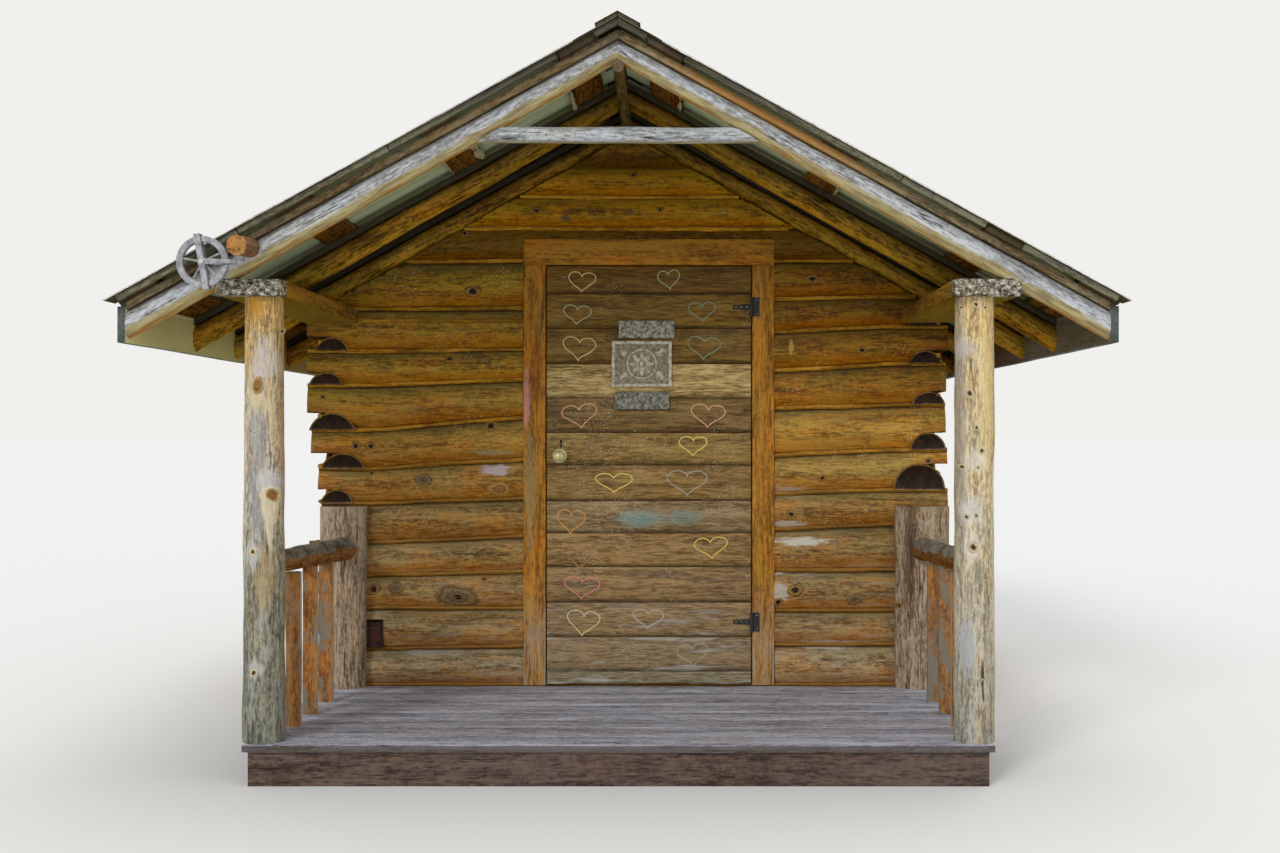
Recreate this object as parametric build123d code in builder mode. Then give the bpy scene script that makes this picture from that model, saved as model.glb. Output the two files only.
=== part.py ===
from build123d import *
import math
import os

os.makedirs("parts", exist_ok=True)

# A small log cabin with a front porch. Millimetres, +Z up, the front faces -Y.
# The origin is on the ground in the middle of the cabin.

# Clearances
FIT = 0.3               # between pieces that seat on each other
PIN_FIT = 0.08          # around a pin that turns in a bore
DOOR_GAP = 6.5          # around the door leaf
STOP_GAP = 5.0          # between the door leaf and its stop

# Log walls
WALL_HALF_WIDTH = 1308.0
WALL_HALF_DEPTH = 1200.0
LOG_THICKNESS = 170.0
LOG_BED = 124.0
SILL_TOP = 153.0
# Heights of the joints above the sill log, at the corner and at the door jamb of each side
CORNER_JOINTS = {
    -1: [315.0, 498.0, 642.0, 788.0, 961.0, 1115.0, 1285.0, 1486.0, 1638.0, 1824.0],
    1: [332.0, 483.0, 664.0, 865.0, 1020.0, 1198.0, 1398.0, 1580.0, 1745.0, 1878.0],
}
JAMB_JOINTS = {
    -1: [324.0, 494.0, 659.0, 812.0, 981.0, 1158.0, 1344.0, 1511.0, 1647.0, 1830.0],
    1: [332.0, 483.0, 662.0, 845.0, 1004.0, 1172.0, 1384.0, 1552.0, 1723.0, 1867.0],
}
GABLE_JOINTS = [2038.0, 2185.0, 2326.0, 2455.0, 2615.0]
# How far each front log's end stands past the side wall's face, from the sill log up
END_PROUD = {
    -1: [12.0, 24.0, 6.0, 18.0, 30.0, -23.0, -10.0, 22.0, 38.0, 38.0, 38.0, 30.0],
    1: [20.0, 8.0, 22.0, 4.0, 27.0, 25.0, 20.0, 13.0, 16.0, 24.0, 12.0, 18.0],
}
# The rounded ends of the side logs: shift outwards from the log's centre, width and height
HALF_MOONS = {
    -1: [
        (0.0, 160.0, 64.0),
        (6.0, 158.0, 62.0),
        (-8.0, 164.0, 66.0),
        (4.0, 156.0, 60.0),
        (0.0, 162.0, 60.0),
        (-43.0, 168.0, 50.0),
        (-10.0, 147.0, 63.0),
        (-34.0, 204.0, 70.0),
        (13.0, 206.0, 77.0),
        (38.0, 156.0, 57.0),
        (10.0, 150.0, 60.0),
    ],
    1: [
        (0.0, 160.0, 64.0),
        (-5.0, 162.0, 62.0),
        (8.0, 158.0, 60.0),
        (3.0, 160.0, 66.0),
        (0.0, 150.0, 62.0),
        (12.0, 127.0, 68.0),
        (-18.0, 230.0, 118.0),
        (19.0, 161.0, 77.0),
        (23.0, 150.0, 59.0),
        (10.0, 150.0, 60.0),
        (0.0, 150.0, 50.0),
    ],
}
HALF_MOON_ROOT = 25.0
HALF_MOON_COVER = 8.0
CUT_MARGIN = 100.0

# Doorway and door
DOOR_CENTRE = 87.0
DOORWAY_WIDTH = 918.0
JAMB_WIDTH = 98.0
HEAD_UNDERSIDE = 2020.0
HEAD_HEIGHT = 115.0
FRAME_PROUD = 3.0
STOP_WIDTH = 14.0
LEAF_BOTTOM = 160.0
BOARD_THICKNESS = 25.0
DOOR_BOARDS = 12
BOARD_JOINT = 2.0
BATTEN_WIDTH = 100.0
BATTEN_THICKNESS = 25.0
BATTEN_INSET = 40.0
SPINDLE_BORE = 12.0

# Hinges
HINGE_HEIGHTS = [435.0, 1833.0]
HINGE_PLATE_HEIGHT = 84.0
HINGE_PLATE_WIDTH = 27.0
HINGE_METAL = 3.0
STRAP_LENGTH = 82.0
STRAP_HEIGHT = 27.0
STRAP_TIP = 17.0
BARREL_RADIUS = 7.0
HINGE_PIN_RADIUS = 3.0
KNUCKLE_GAP = 0.5

# Knob
KNOB_BACKSET = 57.0
KNOB_HEIGHT = 1172.0
KNOB_RADIUS = 27.0
KNOB_REACH = 62.0
NECK_RADIUS = 9.0
ROSE_RADIUS = 31.0
ROSE_THICKNESS = 7.0

# Signs on the door
SIGN_THICKNESS = 16.0
SIGN_CORNER = 6.0
SIGN_UPPER = (77.0, 1733.0, 248.0, 78.0)
SIGN_LOWER = (57.0, 1417.0, 241.0, 78.0)
RELIEF = (56.0, 1580.0, 266.0, 203.0)
RELIEF_BORDER = 14.0
RELIEF_DEPTH = 5.0

# Floors
FLOOR_BOARD = 25.0
FLOOR_BOARD_COUNT = 12
FLOOR_BOARD_JOINT = 2.0
JOIST_WIDTH = 60.0
FLOOR_JOISTS = 5
FLOOR_JOIST_SPACING = 500.0
DECK_TOP = 150.0
DECK_FRONT = 2485.0
DECK_OVERHANG = 43.0
DECK_BOARD = 25.0
DECK_BOARD_COUNT = 8
DECK_BOARD_JOINT = 4.0
DECK_NOSING = 18.0
SKIRT_THICKNESS = 25.0
DECK_JOISTS = 7

# Porch
POST_INSET = 14.0
POST_Y = -2395.0
POST_FOOT_RADIUS = 75.0
POST_HEAD_RADIUS = 69.0
BEAM_OUTSET = 14.0
BEAM_WIDTH = 240.0
BEAM_DEPTH = 60.0
BEAM_FRONT = 2500.0
BIRDSMOUTH = 38.0
RAIL_POST_INSET = {-1: 43.0, 1: 13.0}
RAIL_POST_WIDTH = {-1: 198.0, 1: 236.0}
RAIL_POST_DEPTH = 92.0
RAIL_POST_EDGE = 38.0
RAIL_POST_TOP = 950.0
RAIL_REAR_INSET = {-1: 66.0, 1: 18.0}
RAIL_FRONT_INSET = {-1: 28.0, 1: 18.0}
RAIL_REAR_HEIGHT = 766.0
RAIL_FRONT_HEIGHT = 796.0
RAIL_REAR_RADIUS = 50.0
RAIL_FRONT_RADIUS = 42.0
BALUSTER_INSET = {-1: 54.0, 1: 21.0}
BALUSTER_YS = [-2160.0, -1915.0, -1660.0]
BALUSTER_WIDTH = 58.0
BALUSTER_DEPTH = 40.0

# Roof
ROOF_SLOPE = 0.5535
RIDGE_TOP = 2683.0
POLE_RIDGE_DIAMETER = 70.0
POLE_FOOT_DIAMETER = 92.0
RAFTER_FOOT = 1756.0
RAFTER_YS = [-2465.0, -1765.0, -1240.0, -400.0, 400.0, 1240.0, 1500.0]
CAP_WIDTH = 76.0
ROOF_BOARD = 25.0
PURLIN_WIDTH = 140.0
PURLIN_XS = {-1: [132.0, 625.0, 1144.0, 1690.0], 1: [152.0, 777.0, 1353.0, 1690.0]}
PURLIN_FRONT = 2538.0
PURLIN_BACK = 1565.0
SHEET_FRONT = 2565.0
SHEET_BACK = 1600.0
SHEET_EAVE = 1815.0
SHEET_METAL = 1.5
SHEET_RIDGE_GAP = 8.0
POLE_OVERRUN = 80.0
RIB_PITCH = 229.0
RIB_HEIGHT = 13.0
RIB_FOOT = 44.0
RIB_CREST = 22.0
RIDGE_WING = 92.0
FASCIA_THICKNESS = 30.0
FASCIA_HEIGHT = 130.0
FASCIA_FRONT = 2505.0
FASCIA_BACK = 1540.0
RIDGE_POLE_RADIUS = 21.0
RIDGE_POLE_FRONT = 2512.0
COLLAR_RADIUS = 29.0
COLLAR_HEIGHT = 2341.0

# Pulley at the left of the verge
PEG_RADIUS = 35.0
PEG_X = -1313.0
PEG_SINK = 21.0
PEG_FALL = 16.0
PEG_FRONT = 2661.0
PULLEY_Y = -2600.0
EYE_X = -1309.0
EYE_DROP = 58.0
AXLE_X = -1450.0
AXLE_DROP = 8.0
WHEEL_RADIUS = 90.0
RIM_DEPTH = 22.0
RIM_WIDTH = 20.0
RIM_CHAMFER = 3.0
RIM_LIP = 2.0
GROOVE_DEPTH = 9.0
HUB_RADIUS = 14.0
HUB_WIDTH = 29.0
SPOKE_RADIUS = 4.5
SPOKE_ROOT = 2.0
SPOKES = 5
FIRST_SPOKE = 26.0
AXLE_RADIUS = 5.0
AXLE_HEAD_RADIUS = 9.0
PLATE = 3.0
PLATE_INSIDE = 15.0
CROSSBAR_ANGLE = 100.0
CROSSBAR_WIDTH = 21.0
GUARD_GAP = 5.0
ARM_ROOT_WIDTH = 21.0
ARM_TIP_WIDTH = 12.0
ARM_BEND_START = 98.0
ARM_BEND_END = 122.0
EYE_RADIUS = 7.5
HOOK_RADIUS = 2.5
HOOK_HALF_SPAN = 13.0
HOOK_BEND = 6.0
HOOK_TIP = 11.0
HOOK_ROOT = 14.0

# Worked out from the sizes above
corner_heights = {}
jamb_heights = {}
for side in (-1, 1):
    corner_heights[side] = [0.0, SILL_TOP] + CORNER_JOINTS[side] + [GABLE_JOINTS[0]]
    jamb_heights[side] = [0.0, SILL_TOP] + JAMB_JOINTS[side] + [GABLE_JOINTS[0]]
courses = len(corner_heights[1]) - 1
plate_course = courses - 1
half_log = LOG_THICKNESS / 2
wall_face = WALL_HALF_DEPTH + half_log
side_face = WALL_HALF_WIDTH + half_log
inner_depth = WALL_HALF_DEPTH - half_log
inner_width = WALL_HALF_WIDTH - half_log
level_x = WALL_HALF_WIDTH - LOG_THICKNESS

slope_angle = math.atan(ROOF_SLOPE)
slope_cos = math.cos(slope_angle)
slope_sin = math.sin(slope_angle)
foot_distance = RAFTER_FOOT / slope_cos
taper = (POLE_FOOT_DIAMETER - POLE_RIDGE_DIAMETER) / foot_distance

# The straight line along the undersides of the tapering rafter poles
ridge_under_x = -POLE_RIDGE_DIAMETER * slope_sin
ridge_under_z = RIDGE_TOP - POLE_RIDGE_DIAMETER * slope_cos
foot_under_x = RAFTER_FOOT - POLE_FOOT_DIAMETER * slope_sin
foot_under_z = RIDGE_TOP - RAFTER_FOOT * ROOF_SLOPE - POLE_FOOT_DIAMETER * slope_cos
under_slope = (ridge_under_z - foot_under_z) / (foot_under_x - ridge_under_x)
under_ridge = ridge_under_z + under_slope * ridge_under_x

deck_half_width = WALL_HALF_WIDTH + DECK_OVERHANG
post_x = WALL_HALF_WIDTH - POST_INSET
beam_x = WALL_HALF_WIDTH + BEAM_OUTSET
beam_top = round(under_ridge - under_slope * (beam_x + BEAM_WIDTH / 2) + BIRDSMOUTH)
beam_underside = beam_top - BEAM_DEPTH
peg_rear_z = round(RIDGE_TOP - ROOF_SLOPE * abs(PEG_X) - PEG_SINK)
eye_z = peg_rear_z - EYE_DROP
axle_z = eye_z - AXLE_DROP

leaf_face = -wall_face - FRAME_PROUD
leaf_low_x = DOOR_CENTRE - DOORWAY_WIDTH / 2 + DOOR_GAP
leaf_high_x = DOOR_CENTRE + DOORWAY_WIDTH / 2 - DOOR_GAP
leaf_top = HEAD_UNDERSIDE - DOOR_GAP
frame_low_x = DOOR_CENTRE - DOORWAY_WIDTH / 2 - JAMB_WIDTH
frame_high_x = DOOR_CENTRE + DOORWAY_WIDTH / 2 + JAMB_WIDTH
head_top = HEAD_UNDERSIDE + HEAD_HEIGHT
knob_x = leaf_low_x + KNOB_BACKSET
hinge_x = DOOR_CENTRE + DOORWAY_WIDTH / 2 - DOOR_GAP / 2
hinge_y = leaf_face - FIT - KNUCKLE_GAP - BARREL_RADIUS


def save(builder, name):
    """Label a finished piece and write it."""
    builder.part.label = name
    export_step(builder.part, "parts/" + name + ".step")


def upright(y):
    """A plane that faces the front at depth y, with X across and Z up."""
    return Plane.XZ.offset(-y)


def log_outline(centre, low, high, growth):
    """A log's cross section: flat beds and bulging faces."""
    middle = (low + high) / 2
    bed = LOG_BED / 2 + growth
    bulge = half_log + growth
    with BuildLine() as outline:
        Line((centre - bed, low), (centre + bed, low))
        ThreePointArc((centre + bed, low), (centre + bulge, middle), (centre + bed, high))
        Line((centre + bed, high), (centre - bed, high))
        ThreePointArc((centre - bed, high), (centre - bulge, middle), (centre - bed, low))
    make_face(outline.edges())


def half_moon(side, course, growth):
    """The rounded end of a side log, standing on a joint of the front or back wall."""
    shift, width, height = HALF_MOONS[side][course]
    centre = side * (WALL_HALF_WIDTH + shift)
    half = width / 2 + growth
    low = corner_heights[side][course]
    with BuildLine() as outline:
        Line((centre - half, low), (centre + half, low))
        ThreePointArc((centre + half, low), (centre, low + height + growth), (centre - half, low))
    make_face(outline.edges())


def rectangle(low_x, low_y, high_x, high_y):
    """A rectangle by its corners."""
    with BuildLine() as outline:
        Polyline((low_x, low_y), (high_x, low_y), (high_x, high_y), (low_x, high_y), close=True)
    make_face(outline.edges())


def corner_cuts(side, first, last):
    """The saddle notches and the uneven ends of the front or back logs at one corner."""
    heights = corner_heights[side]
    beyond = side * (side_face + CUT_MARGIN)
    for course in range(first, last):
        end = side * (side_face + END_PROUD[side][course])
        rectangle(min(end, beyond), heights[course], max(end, beyond), heights[course + 1])
        if course < plate_course:
            shift, width, height = HALF_MOONS[side][course]
            half_moon(side, course, FIT)
            inner = side * (WALL_HALF_WIDTH + shift)
            crown = heights[course] + height + FIT
            rectangle(min(inner, beyond), heights[course], max(inner, beyond), crown)


def roof_cuts():
    """What lies above the undersides of the rafters."""
    reach = side_face + 2 * CUT_MARGIN
    top = RIDGE_TOP + CUT_MARGIN
    with BuildLine() as outline:
        Polyline(
            (0, under_ridge - FIT),
            (reach, under_ridge - FIT - under_slope * reach),
            (reach, top),
            (-reach, top),
            (-reach, under_ridge - FIT - under_slope * reach),
            close=True,
        )
    make_face(outline.edges())


ridge_pole_z = under_ridge - (RIDGE_POLE_RADIUS + FIT) * math.sqrt(1 + under_slope ** 2)
log_reach = side_face + max(END_PROUD[-1] + END_PROUD[1]) + FIT


def level_logs(wall_y, first, last, side):
    """The level ends of a wall's logs, from one corner to inside the side wall."""
    heights = corner_heights[side]
    with BuildSketch(Plane.YZ.offset(min(side * level_x, side * log_reach))) as section:
        for course in range(first, last):
            log_outline(wall_y, heights[course], heights[course + 1] - FIT, 0)
    extrude(section.sketch, amount=log_reach - level_x)


def sloping_logs(wall_y, first, last, from_x, from_heights, to_x, to_heights):
    """The logs between two upright sections of a wall, each with its own joint heights."""
    for course in range(first, last):
        ends = []
        for x, heights in ((from_x, from_heights), (to_x, to_heights)):
            with BuildSketch(Plane.YZ.offset(x)) as section:
                log_outline(wall_y, heights[course], heights[course + 1] - FIT, 0)
            ends.append(section.sketch)
        loft(ends, ruled=True)


# Front wall: a sill log across, logs each side of the doorway, and the gable
with BuildPart() as front_sill_log:
    with BuildSketch(Plane.YZ.offset(-log_reach)):
        log_outline(-WALL_HALF_DEPTH, 0, SILL_TOP - FIT, 0)
    extrude(amount=2 * log_reach)
    with BuildSketch(upright(-WALL_HALF_DEPTH)):
        for side in (-1, 1):
            corner_cuts(side, 0, 1)
    extrude(amount=LOG_THICKNESS, both=True, mode=Mode.SUBTRACT)
save(front_sill_log, "front_sill_log")


def front_wall(side, jamb_x):
    """The front logs between one corner and the doorway."""
    with BuildPart() as logs:
        level_logs(-WALL_HALF_DEPTH, 1, courses, side)
        sloping_logs(
            -WALL_HALF_DEPTH, 1, courses, side * level_x, corner_heights[side], jamb_x, jamb_heights[side]
        )
        with BuildSketch(upright(-WALL_HALF_DEPTH)):
            corner_cuts(side, 1, courses)
            roof_cuts()
        extrude(amount=LOG_THICKNESS, both=True, mode=Mode.SUBTRACT)
    return logs


front_wall_left = front_wall(-1, frame_low_x - FIT)
save(front_wall_left, "front_wall_left")

front_wall_right = front_wall(1, frame_high_x + FIT)
save(front_wall_right, "front_wall_right")


def gable(wall_y, doorway):
    """The logs over the plates, cut to the rafters and round the ridge pole."""
    with BuildPart() as logs:
        with BuildSketch(Plane.YZ.offset(-log_reach)):
            for low, high in zip(GABLE_JOINTS, GABLE_JOINTS[1:]):
                log_outline(wall_y, low, high - FIT, 0)
        extrude(amount=2 * log_reach)
        with BuildSketch(upright(wall_y)):
            roof_cuts()
            if doorway:
                rectangle(frame_low_x - FIT, SILL_TOP, frame_high_x + FIT, head_top + FIT)
            with Locations((0, ridge_pole_z)):
                Circle(RIDGE_POLE_RADIUS + FIT)
        extrude(amount=LOG_THICKNESS, both=True, mode=Mode.SUBTRACT)
    return logs


front_gable = gable(-WALL_HALF_DEPTH, True)
save(front_gable, "front_gable")

# Back wall: no doorway, and each log rises or falls from one corner to the other
with BuildPart() as back_wall:
    level_logs(WALL_HALF_DEPTH, 0, courses, -1)
    level_logs(WALL_HALF_DEPTH, 0, courses, 1)
    sloping_logs(WALL_HALF_DEPTH, 0, courses, -level_x, corner_heights[-1], level_x, corner_heights[1])
    with BuildSketch(upright(WALL_HALF_DEPTH)):
        for side in (-1, 1):
            corner_cuts(side, 0, courses)
        roof_cuts()
    extrude(amount=LOG_THICKNESS, both=True, mode=Mode.SUBTRACT)
save(back_wall, "back_wall")

back_gable = gable(WALL_HALF_DEPTH, False)
save(back_gable, "back_gable")


def side_joint(side, course):
    """A side log's top: half a course over the front log's bed, or clear of its half-moon."""
    low = corner_heights[side][course]
    rise = (corner_heights[side][course + 1] - low) / 2
    if course < plate_course:
        rise = max(rise, HALF_MOONS[side][course][2] + HALF_MOON_COVER)
    return low + rise


def side_logs(side):
    """One side wall: logs scribed to the front and back walls, with half-moon ends."""
    centre = side * WALL_HALF_WIDTH
    body_end = WALL_HALF_DEPTH - LOG_BED / 2
    with BuildPart() as logs:
        with BuildSketch(upright(body_end)):
            rectangle(centre - half_log, 0, centre + half_log, side_joint(side, 0) - FIT)
            for course in range(1, courses):
                log_outline(centre, side_joint(side, course - 1), side_joint(side, course) - FIT, 0)
        extrude(amount=2 * body_end)
        with BuildSketch(Plane.YZ.offset(centre - LOG_THICKNESS)):
            for wall_y in (-WALL_HALF_DEPTH, WALL_HALF_DEPTH):
                for course in range(courses):
                    log_outline(wall_y, corner_heights[side][course], corner_heights[side][course + 1], FIT)
        extrude(amount=2 * LOG_THICKNESS, mode=Mode.SUBTRACT)
        for end in (-1, 1):
            with BuildSketch(upright(end * wall_face)):
                for course in range(plate_course):
                    half_moon(side, course, 0)
            extrude(amount=end * LOG_THICKNESS)
            with BuildSketch(upright(end * wall_face)):
                for course in range(plate_course):
                    half_moon(side, course, 0)
                Rectangle(2 * side_face, 2 * RIDGE_TOP, mode=Mode.INTERSECT)
                Rectangle(2 * inner_width, 2 * RIDGE_TOP, mode=Mode.SUBTRACT)
            extrude(amount=end * (LOG_THICKNESS + HALF_MOON_ROOT))
        with BuildSketch(upright(0)):
            roof_cuts()
        extrude(amount=wall_face + LOG_THICKNESS, both=True, mode=Mode.SUBTRACT)
    return logs


left_wall = side_logs(-1)
save(left_wall, "left_wall")

right_wall = side_logs(1)
save(right_wall, "right_wall")

# Floor inside: joists on the ground and boards level with the sill log
floor_top = SILL_TOP
floor_half_depth = inner_depth - FIT
floor_half_width = inner_width - FIT

with BuildPart() as floor_joists:
    with GridLocations(FLOOR_JOIST_SPACING, 1, FLOOR_JOISTS, 1):
        Box(
            JOIST_WIDTH,
            2 * floor_half_depth,
            floor_top - FLOOR_BOARD - FIT,
            align=(Align.CENTER, Align.CENTER, Align.MIN),
        )
save(floor_joists, "floor_joists")

floor_pitch = 2 * floor_half_depth / FLOOR_BOARD_COUNT
with BuildPart() as floor_boards:
    with BuildSketch(Plane.XY.offset(floor_top - FLOOR_BOARD)):
        with GridLocations(1, floor_pitch, 1, FLOOR_BOARD_COUNT):
            Rectangle(2 * floor_half_width, floor_pitch - FLOOR_BOARD_JOINT)
    extrude(amount=FLOOR_BOARD)
save(floor_boards, "floor_boards")

# Porch deck: joists on the ground, skirts round them and boards over
deck_back = wall_face + FIT
deck_depth = DECK_FRONT - deck_back
deck_middle = -(DECK_FRONT + deck_back) / 2
skirt_front = DECK_FRONT - DECK_NOSING
skirt_side = deck_half_width - DECK_NOSING
deck_underside = DECK_TOP - DECK_BOARD
joist_front = skirt_front - SKIRT_THICKNESS - FIT
joist_length = joist_front - deck_back
outermost_joist = skirt_side - SKIRT_THICKNESS - FIT - JOIST_WIDTH / 2
deck_joist_spacing = 2 * outermost_joist / (DECK_JOISTS - 1)

with BuildPart() as deck_joists:
    with BuildSketch():
        with Locations((0, -(joist_front + deck_back) / 2)):
            with GridLocations(deck_joist_spacing, 1, DECK_JOISTS, 1):
                Rectangle(JOIST_WIDTH, joist_length)
    extrude(amount=deck_underside - FIT)
save(deck_joists, "deck_joists")

with BuildPart() as deck_skirts:
    with BuildSketch():
        rectangle(-skirt_side, -skirt_front, skirt_side, -skirt_front + SKIRT_THICKNESS)
        for side in (-1, 1):
            outer = side * skirt_side
            inner = side * (skirt_side - SKIRT_THICKNESS)
            front = -skirt_front + SKIRT_THICKNESS + FIT
            rectangle(min(outer, inner), front, max(outer, inner), -deck_back)
    extrude(amount=deck_underside - FIT)
save(deck_skirts, "deck_skirts")

deck_pitch = (deck_depth + DECK_BOARD_JOINT) / DECK_BOARD_COUNT
with BuildPart() as deck_boards:
    with BuildSketch(Plane.XY.offset(deck_underside)):
        with Locations((0, deck_middle)):
            with GridLocations(1, deck_pitch, 1, DECK_BOARD_COUNT):
                Rectangle(2 * deck_half_width, deck_pitch - DECK_BOARD_JOINT)
    extrude(amount=DECK_BOARD)
save(deck_boards, "deck_boards")

# Door frame: two rebated jambs on the sill log and a head over them
stop_face = leaf_face + BOARD_THICKNESS + STOP_GAP
frame_back = -inner_depth

with BuildPart() as door_frame:
    with BuildSketch(Plane.XY.offset(floor_top + FIT)):
        for side in (-1, 1):
            outer = DOOR_CENTRE + side * (DOORWAY_WIDTH / 2 + JAMB_WIDTH)
            inner = DOOR_CENTRE + side * DOORWAY_WIDTH / 2
            stop = inner - side * STOP_WIDTH
            with BuildLine():
                Polyline(
                    (outer, leaf_face),
                    (inner, leaf_face),
                    (inner, stop_face),
                    (stop, stop_face),
                    (stop, frame_back),
                    (outer, frame_back),
                    close=True,
                )
            make_face()
    extrude(amount=HEAD_UNDERSIDE - FIT - floor_top - FIT)
    with BuildSketch(Plane.YZ.offset(frame_low_x)):
        with BuildLine():
            Polyline(
                (leaf_face, HEAD_UNDERSIDE),
                (stop_face, HEAD_UNDERSIDE),
                (frame_back, HEAD_UNDERSIDE),
                (frame_back, head_top),
                (leaf_face, head_top),
                close=True,
            )
        make_face()
    extrude(amount=frame_high_x - frame_low_x)
save(door_frame, "door_frame")

# Door leaf: boards across, upright battens behind them
leaf_width = leaf_high_x - leaf_low_x
leaf_height = leaf_top - LEAF_BOTTOM
board_pitch = (leaf_height + BOARD_JOINT) / DOOR_BOARDS
batten_face = leaf_face + BOARD_THICKNESS + FIT
leaf_middle_x = (leaf_low_x + leaf_high_x) / 2
leaf_middle_z = (LEAF_BOTTOM + leaf_top) / 2
batten_spacing = (leaf_width - 2 * BATTEN_INSET - BATTEN_WIDTH) / 2

with BuildPart() as door_boards:
    with BuildSketch(upright(leaf_face + BOARD_THICKNESS)):
        with Locations((leaf_middle_x, leaf_middle_z)):
            with GridLocations(1, board_pitch, 1, DOOR_BOARDS):
                Rectangle(leaf_width, board_pitch - BOARD_JOINT)
        with Locations((knob_x, KNOB_HEIGHT)):
            Circle(SPINDLE_BORE, mode=Mode.SUBTRACT)
    extrude(amount=BOARD_THICKNESS)
save(door_boards, "door_boards")

with BuildPart() as door_battens:
    with BuildSketch(upright(batten_face + BATTEN_THICKNESS)):
        with Locations((leaf_middle_x, leaf_middle_z)):
            with GridLocations(batten_spacing, 1, 3, 1):
                Rectangle(BATTEN_WIDTH, leaf_height - 2 * BATTEN_INSET)
        with Locations((knob_x, KNOB_HEIGHT)):
            Circle(SPINDLE_BORE, mode=Mode.SUBTRACT)
    extrude(amount=BATTEN_THICKNESS)
save(door_battens, "door_battens")

# Strap hinges: a tapered strap on the leaf, a plate with the pin on the jamb
knuckle = (HINGE_PLATE_HEIGHT - STRAP_HEIGHT - 2 * KNUCKLE_GAP) / 2
metal_back = leaf_face - FIT
metal_front = metal_back - HINGE_METAL

with BuildPart() as door_hinge_straps:
    for hinge_z in HINGE_HEIGHTS:
        with BuildSketch(upright(metal_back)):
            with BuildLine():
                Polyline(
                    (hinge_x, hinge_z - STRAP_HEIGHT / 2),
                    (hinge_x, hinge_z + STRAP_HEIGHT / 2),
                    (hinge_x - STRAP_LENGTH, hinge_z + STRAP_TIP / 2),
                    (hinge_x - STRAP_LENGTH, hinge_z - STRAP_TIP / 2),
                    close=True,
                )
            make_face()
        extrude(amount=HINGE_METAL)
        with BuildSketch(Plane.XY.offset(hinge_z - STRAP_HEIGHT / 2)):
            with Locations((hinge_x, hinge_y)):
                Circle(BARREL_RADIUS)
        extrude(amount=STRAP_HEIGHT)
    with Locations((hinge_x, hinge_y, HINGE_HEIGHTS[0] - HINGE_PLATE_HEIGHT)):
        Cylinder(
            HINGE_PIN_RADIUS + PIN_FIT,
            HINGE_HEIGHTS[1] - HINGE_HEIGHTS[0] + 2 * HINGE_PLATE_HEIGHT,
            align=(Align.CENTER, Align.CENTER, Align.MIN),
            mode=Mode.SUBTRACT,
        )
save(door_hinge_straps, "door_hinge_straps")

with BuildPart() as door_hinge_plates:
    for hinge_z in HINGE_HEIGHTS:
        low = hinge_z - HINGE_PLATE_HEIGHT / 2
        plate_low_x = hinge_x + BARREL_RADIUS + KNUCKLE_GAP
        with BuildSketch(upright(metal_back)):
            rectangle(plate_low_x, low, plate_low_x + HINGE_PLATE_WIDTH, low + HINGE_PLATE_HEIGHT)
            rectangle(hinge_x, low, plate_low_x, low + knuckle)
            rectangle(hinge_x, low + HINGE_PLATE_HEIGHT - knuckle, plate_low_x, low + HINGE_PLATE_HEIGHT)
        extrude(amount=HINGE_METAL)
        for knuckle_low in (low, low + HINGE_PLATE_HEIGHT - knuckle):
            with BuildSketch(Plane.XY.offset(knuckle_low)):
                with Locations((hinge_x, hinge_y)):
                    Circle(BARREL_RADIUS)
            extrude(amount=knuckle)
        with BuildSketch(Plane.XY.offset(low)):
            with Locations((hinge_x, hinge_y)):
                Circle(HINGE_PIN_RADIUS)
        extrude(amount=HINGE_PLATE_HEIGHT)
save(door_hinge_plates, "door_hinge_plates")

# Knob: one turned piece through the leaf, with a rose each side
leaf_back = batten_face + BATTEN_THICKNESS
outer_end = leaf_face - KNOB_REACH
inner_end = leaf_back + KNOB_REACH


def knob_profile(root, tip):
    """Half of a round knob on its neck, from the leaf's face out."""
    out = math.copysign(1, tip - root)
    ball = tip - out * KNOB_RADIUS
    meet = ball - out * math.sqrt(KNOB_RADIUS ** 2 - NECK_RADIUS ** 2)
    with BuildLine() as outline:
        Polyline((0, tip), (0, root), (NECK_RADIUS, root), (NECK_RADIUS, meet))
        ThreePointArc((NECK_RADIUS, meet), (KNOB_RADIUS, ball), (0, tip))
    make_face(outline.edges())


with BuildPart() as door_knob:
    with BuildSketch(Plane((knob_x, 0, KNOB_HEIGHT), x_dir=(1, 0, 0), z_dir=(0, 0, 1))):
        middle = (leaf_face + leaf_back) / 2
        knob_profile(middle, outer_end)
        knob_profile(middle, inner_end)
    revolve(axis=Axis((knob_x, 0, KNOB_HEIGHT), (0, 1, 0)))
save(door_knob, "door_knob")

with BuildPart() as knob_roses:
    for face, out in ((leaf_face - FIT, 1), (leaf_back + FIT, -1)):
        with BuildSketch(upright(face)):
            with Locations((knob_x, KNOB_HEIGHT)):
                Circle(ROSE_RADIUS)
                Circle(NECK_RADIUS + PIN_FIT, mode=Mode.SUBTRACT)
        extrude(amount=out * ROSE_THICKNESS)
save(knob_roses, "knob_roses")


# Signs and the relief hung on the door
sign_back = leaf_face - FIT
with BuildPart() as door_signs:
    with BuildSketch(upright(sign_back)):
        for centre_x, centre_z, width, height in (SIGN_UPPER, SIGN_LOWER):
            with Locations((centre_x, centre_z)):
                RectangleRounded(width, height, SIGN_CORNER)
    extrude(amount=SIGN_THICKNESS)
save(door_signs, "door_signs")

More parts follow.
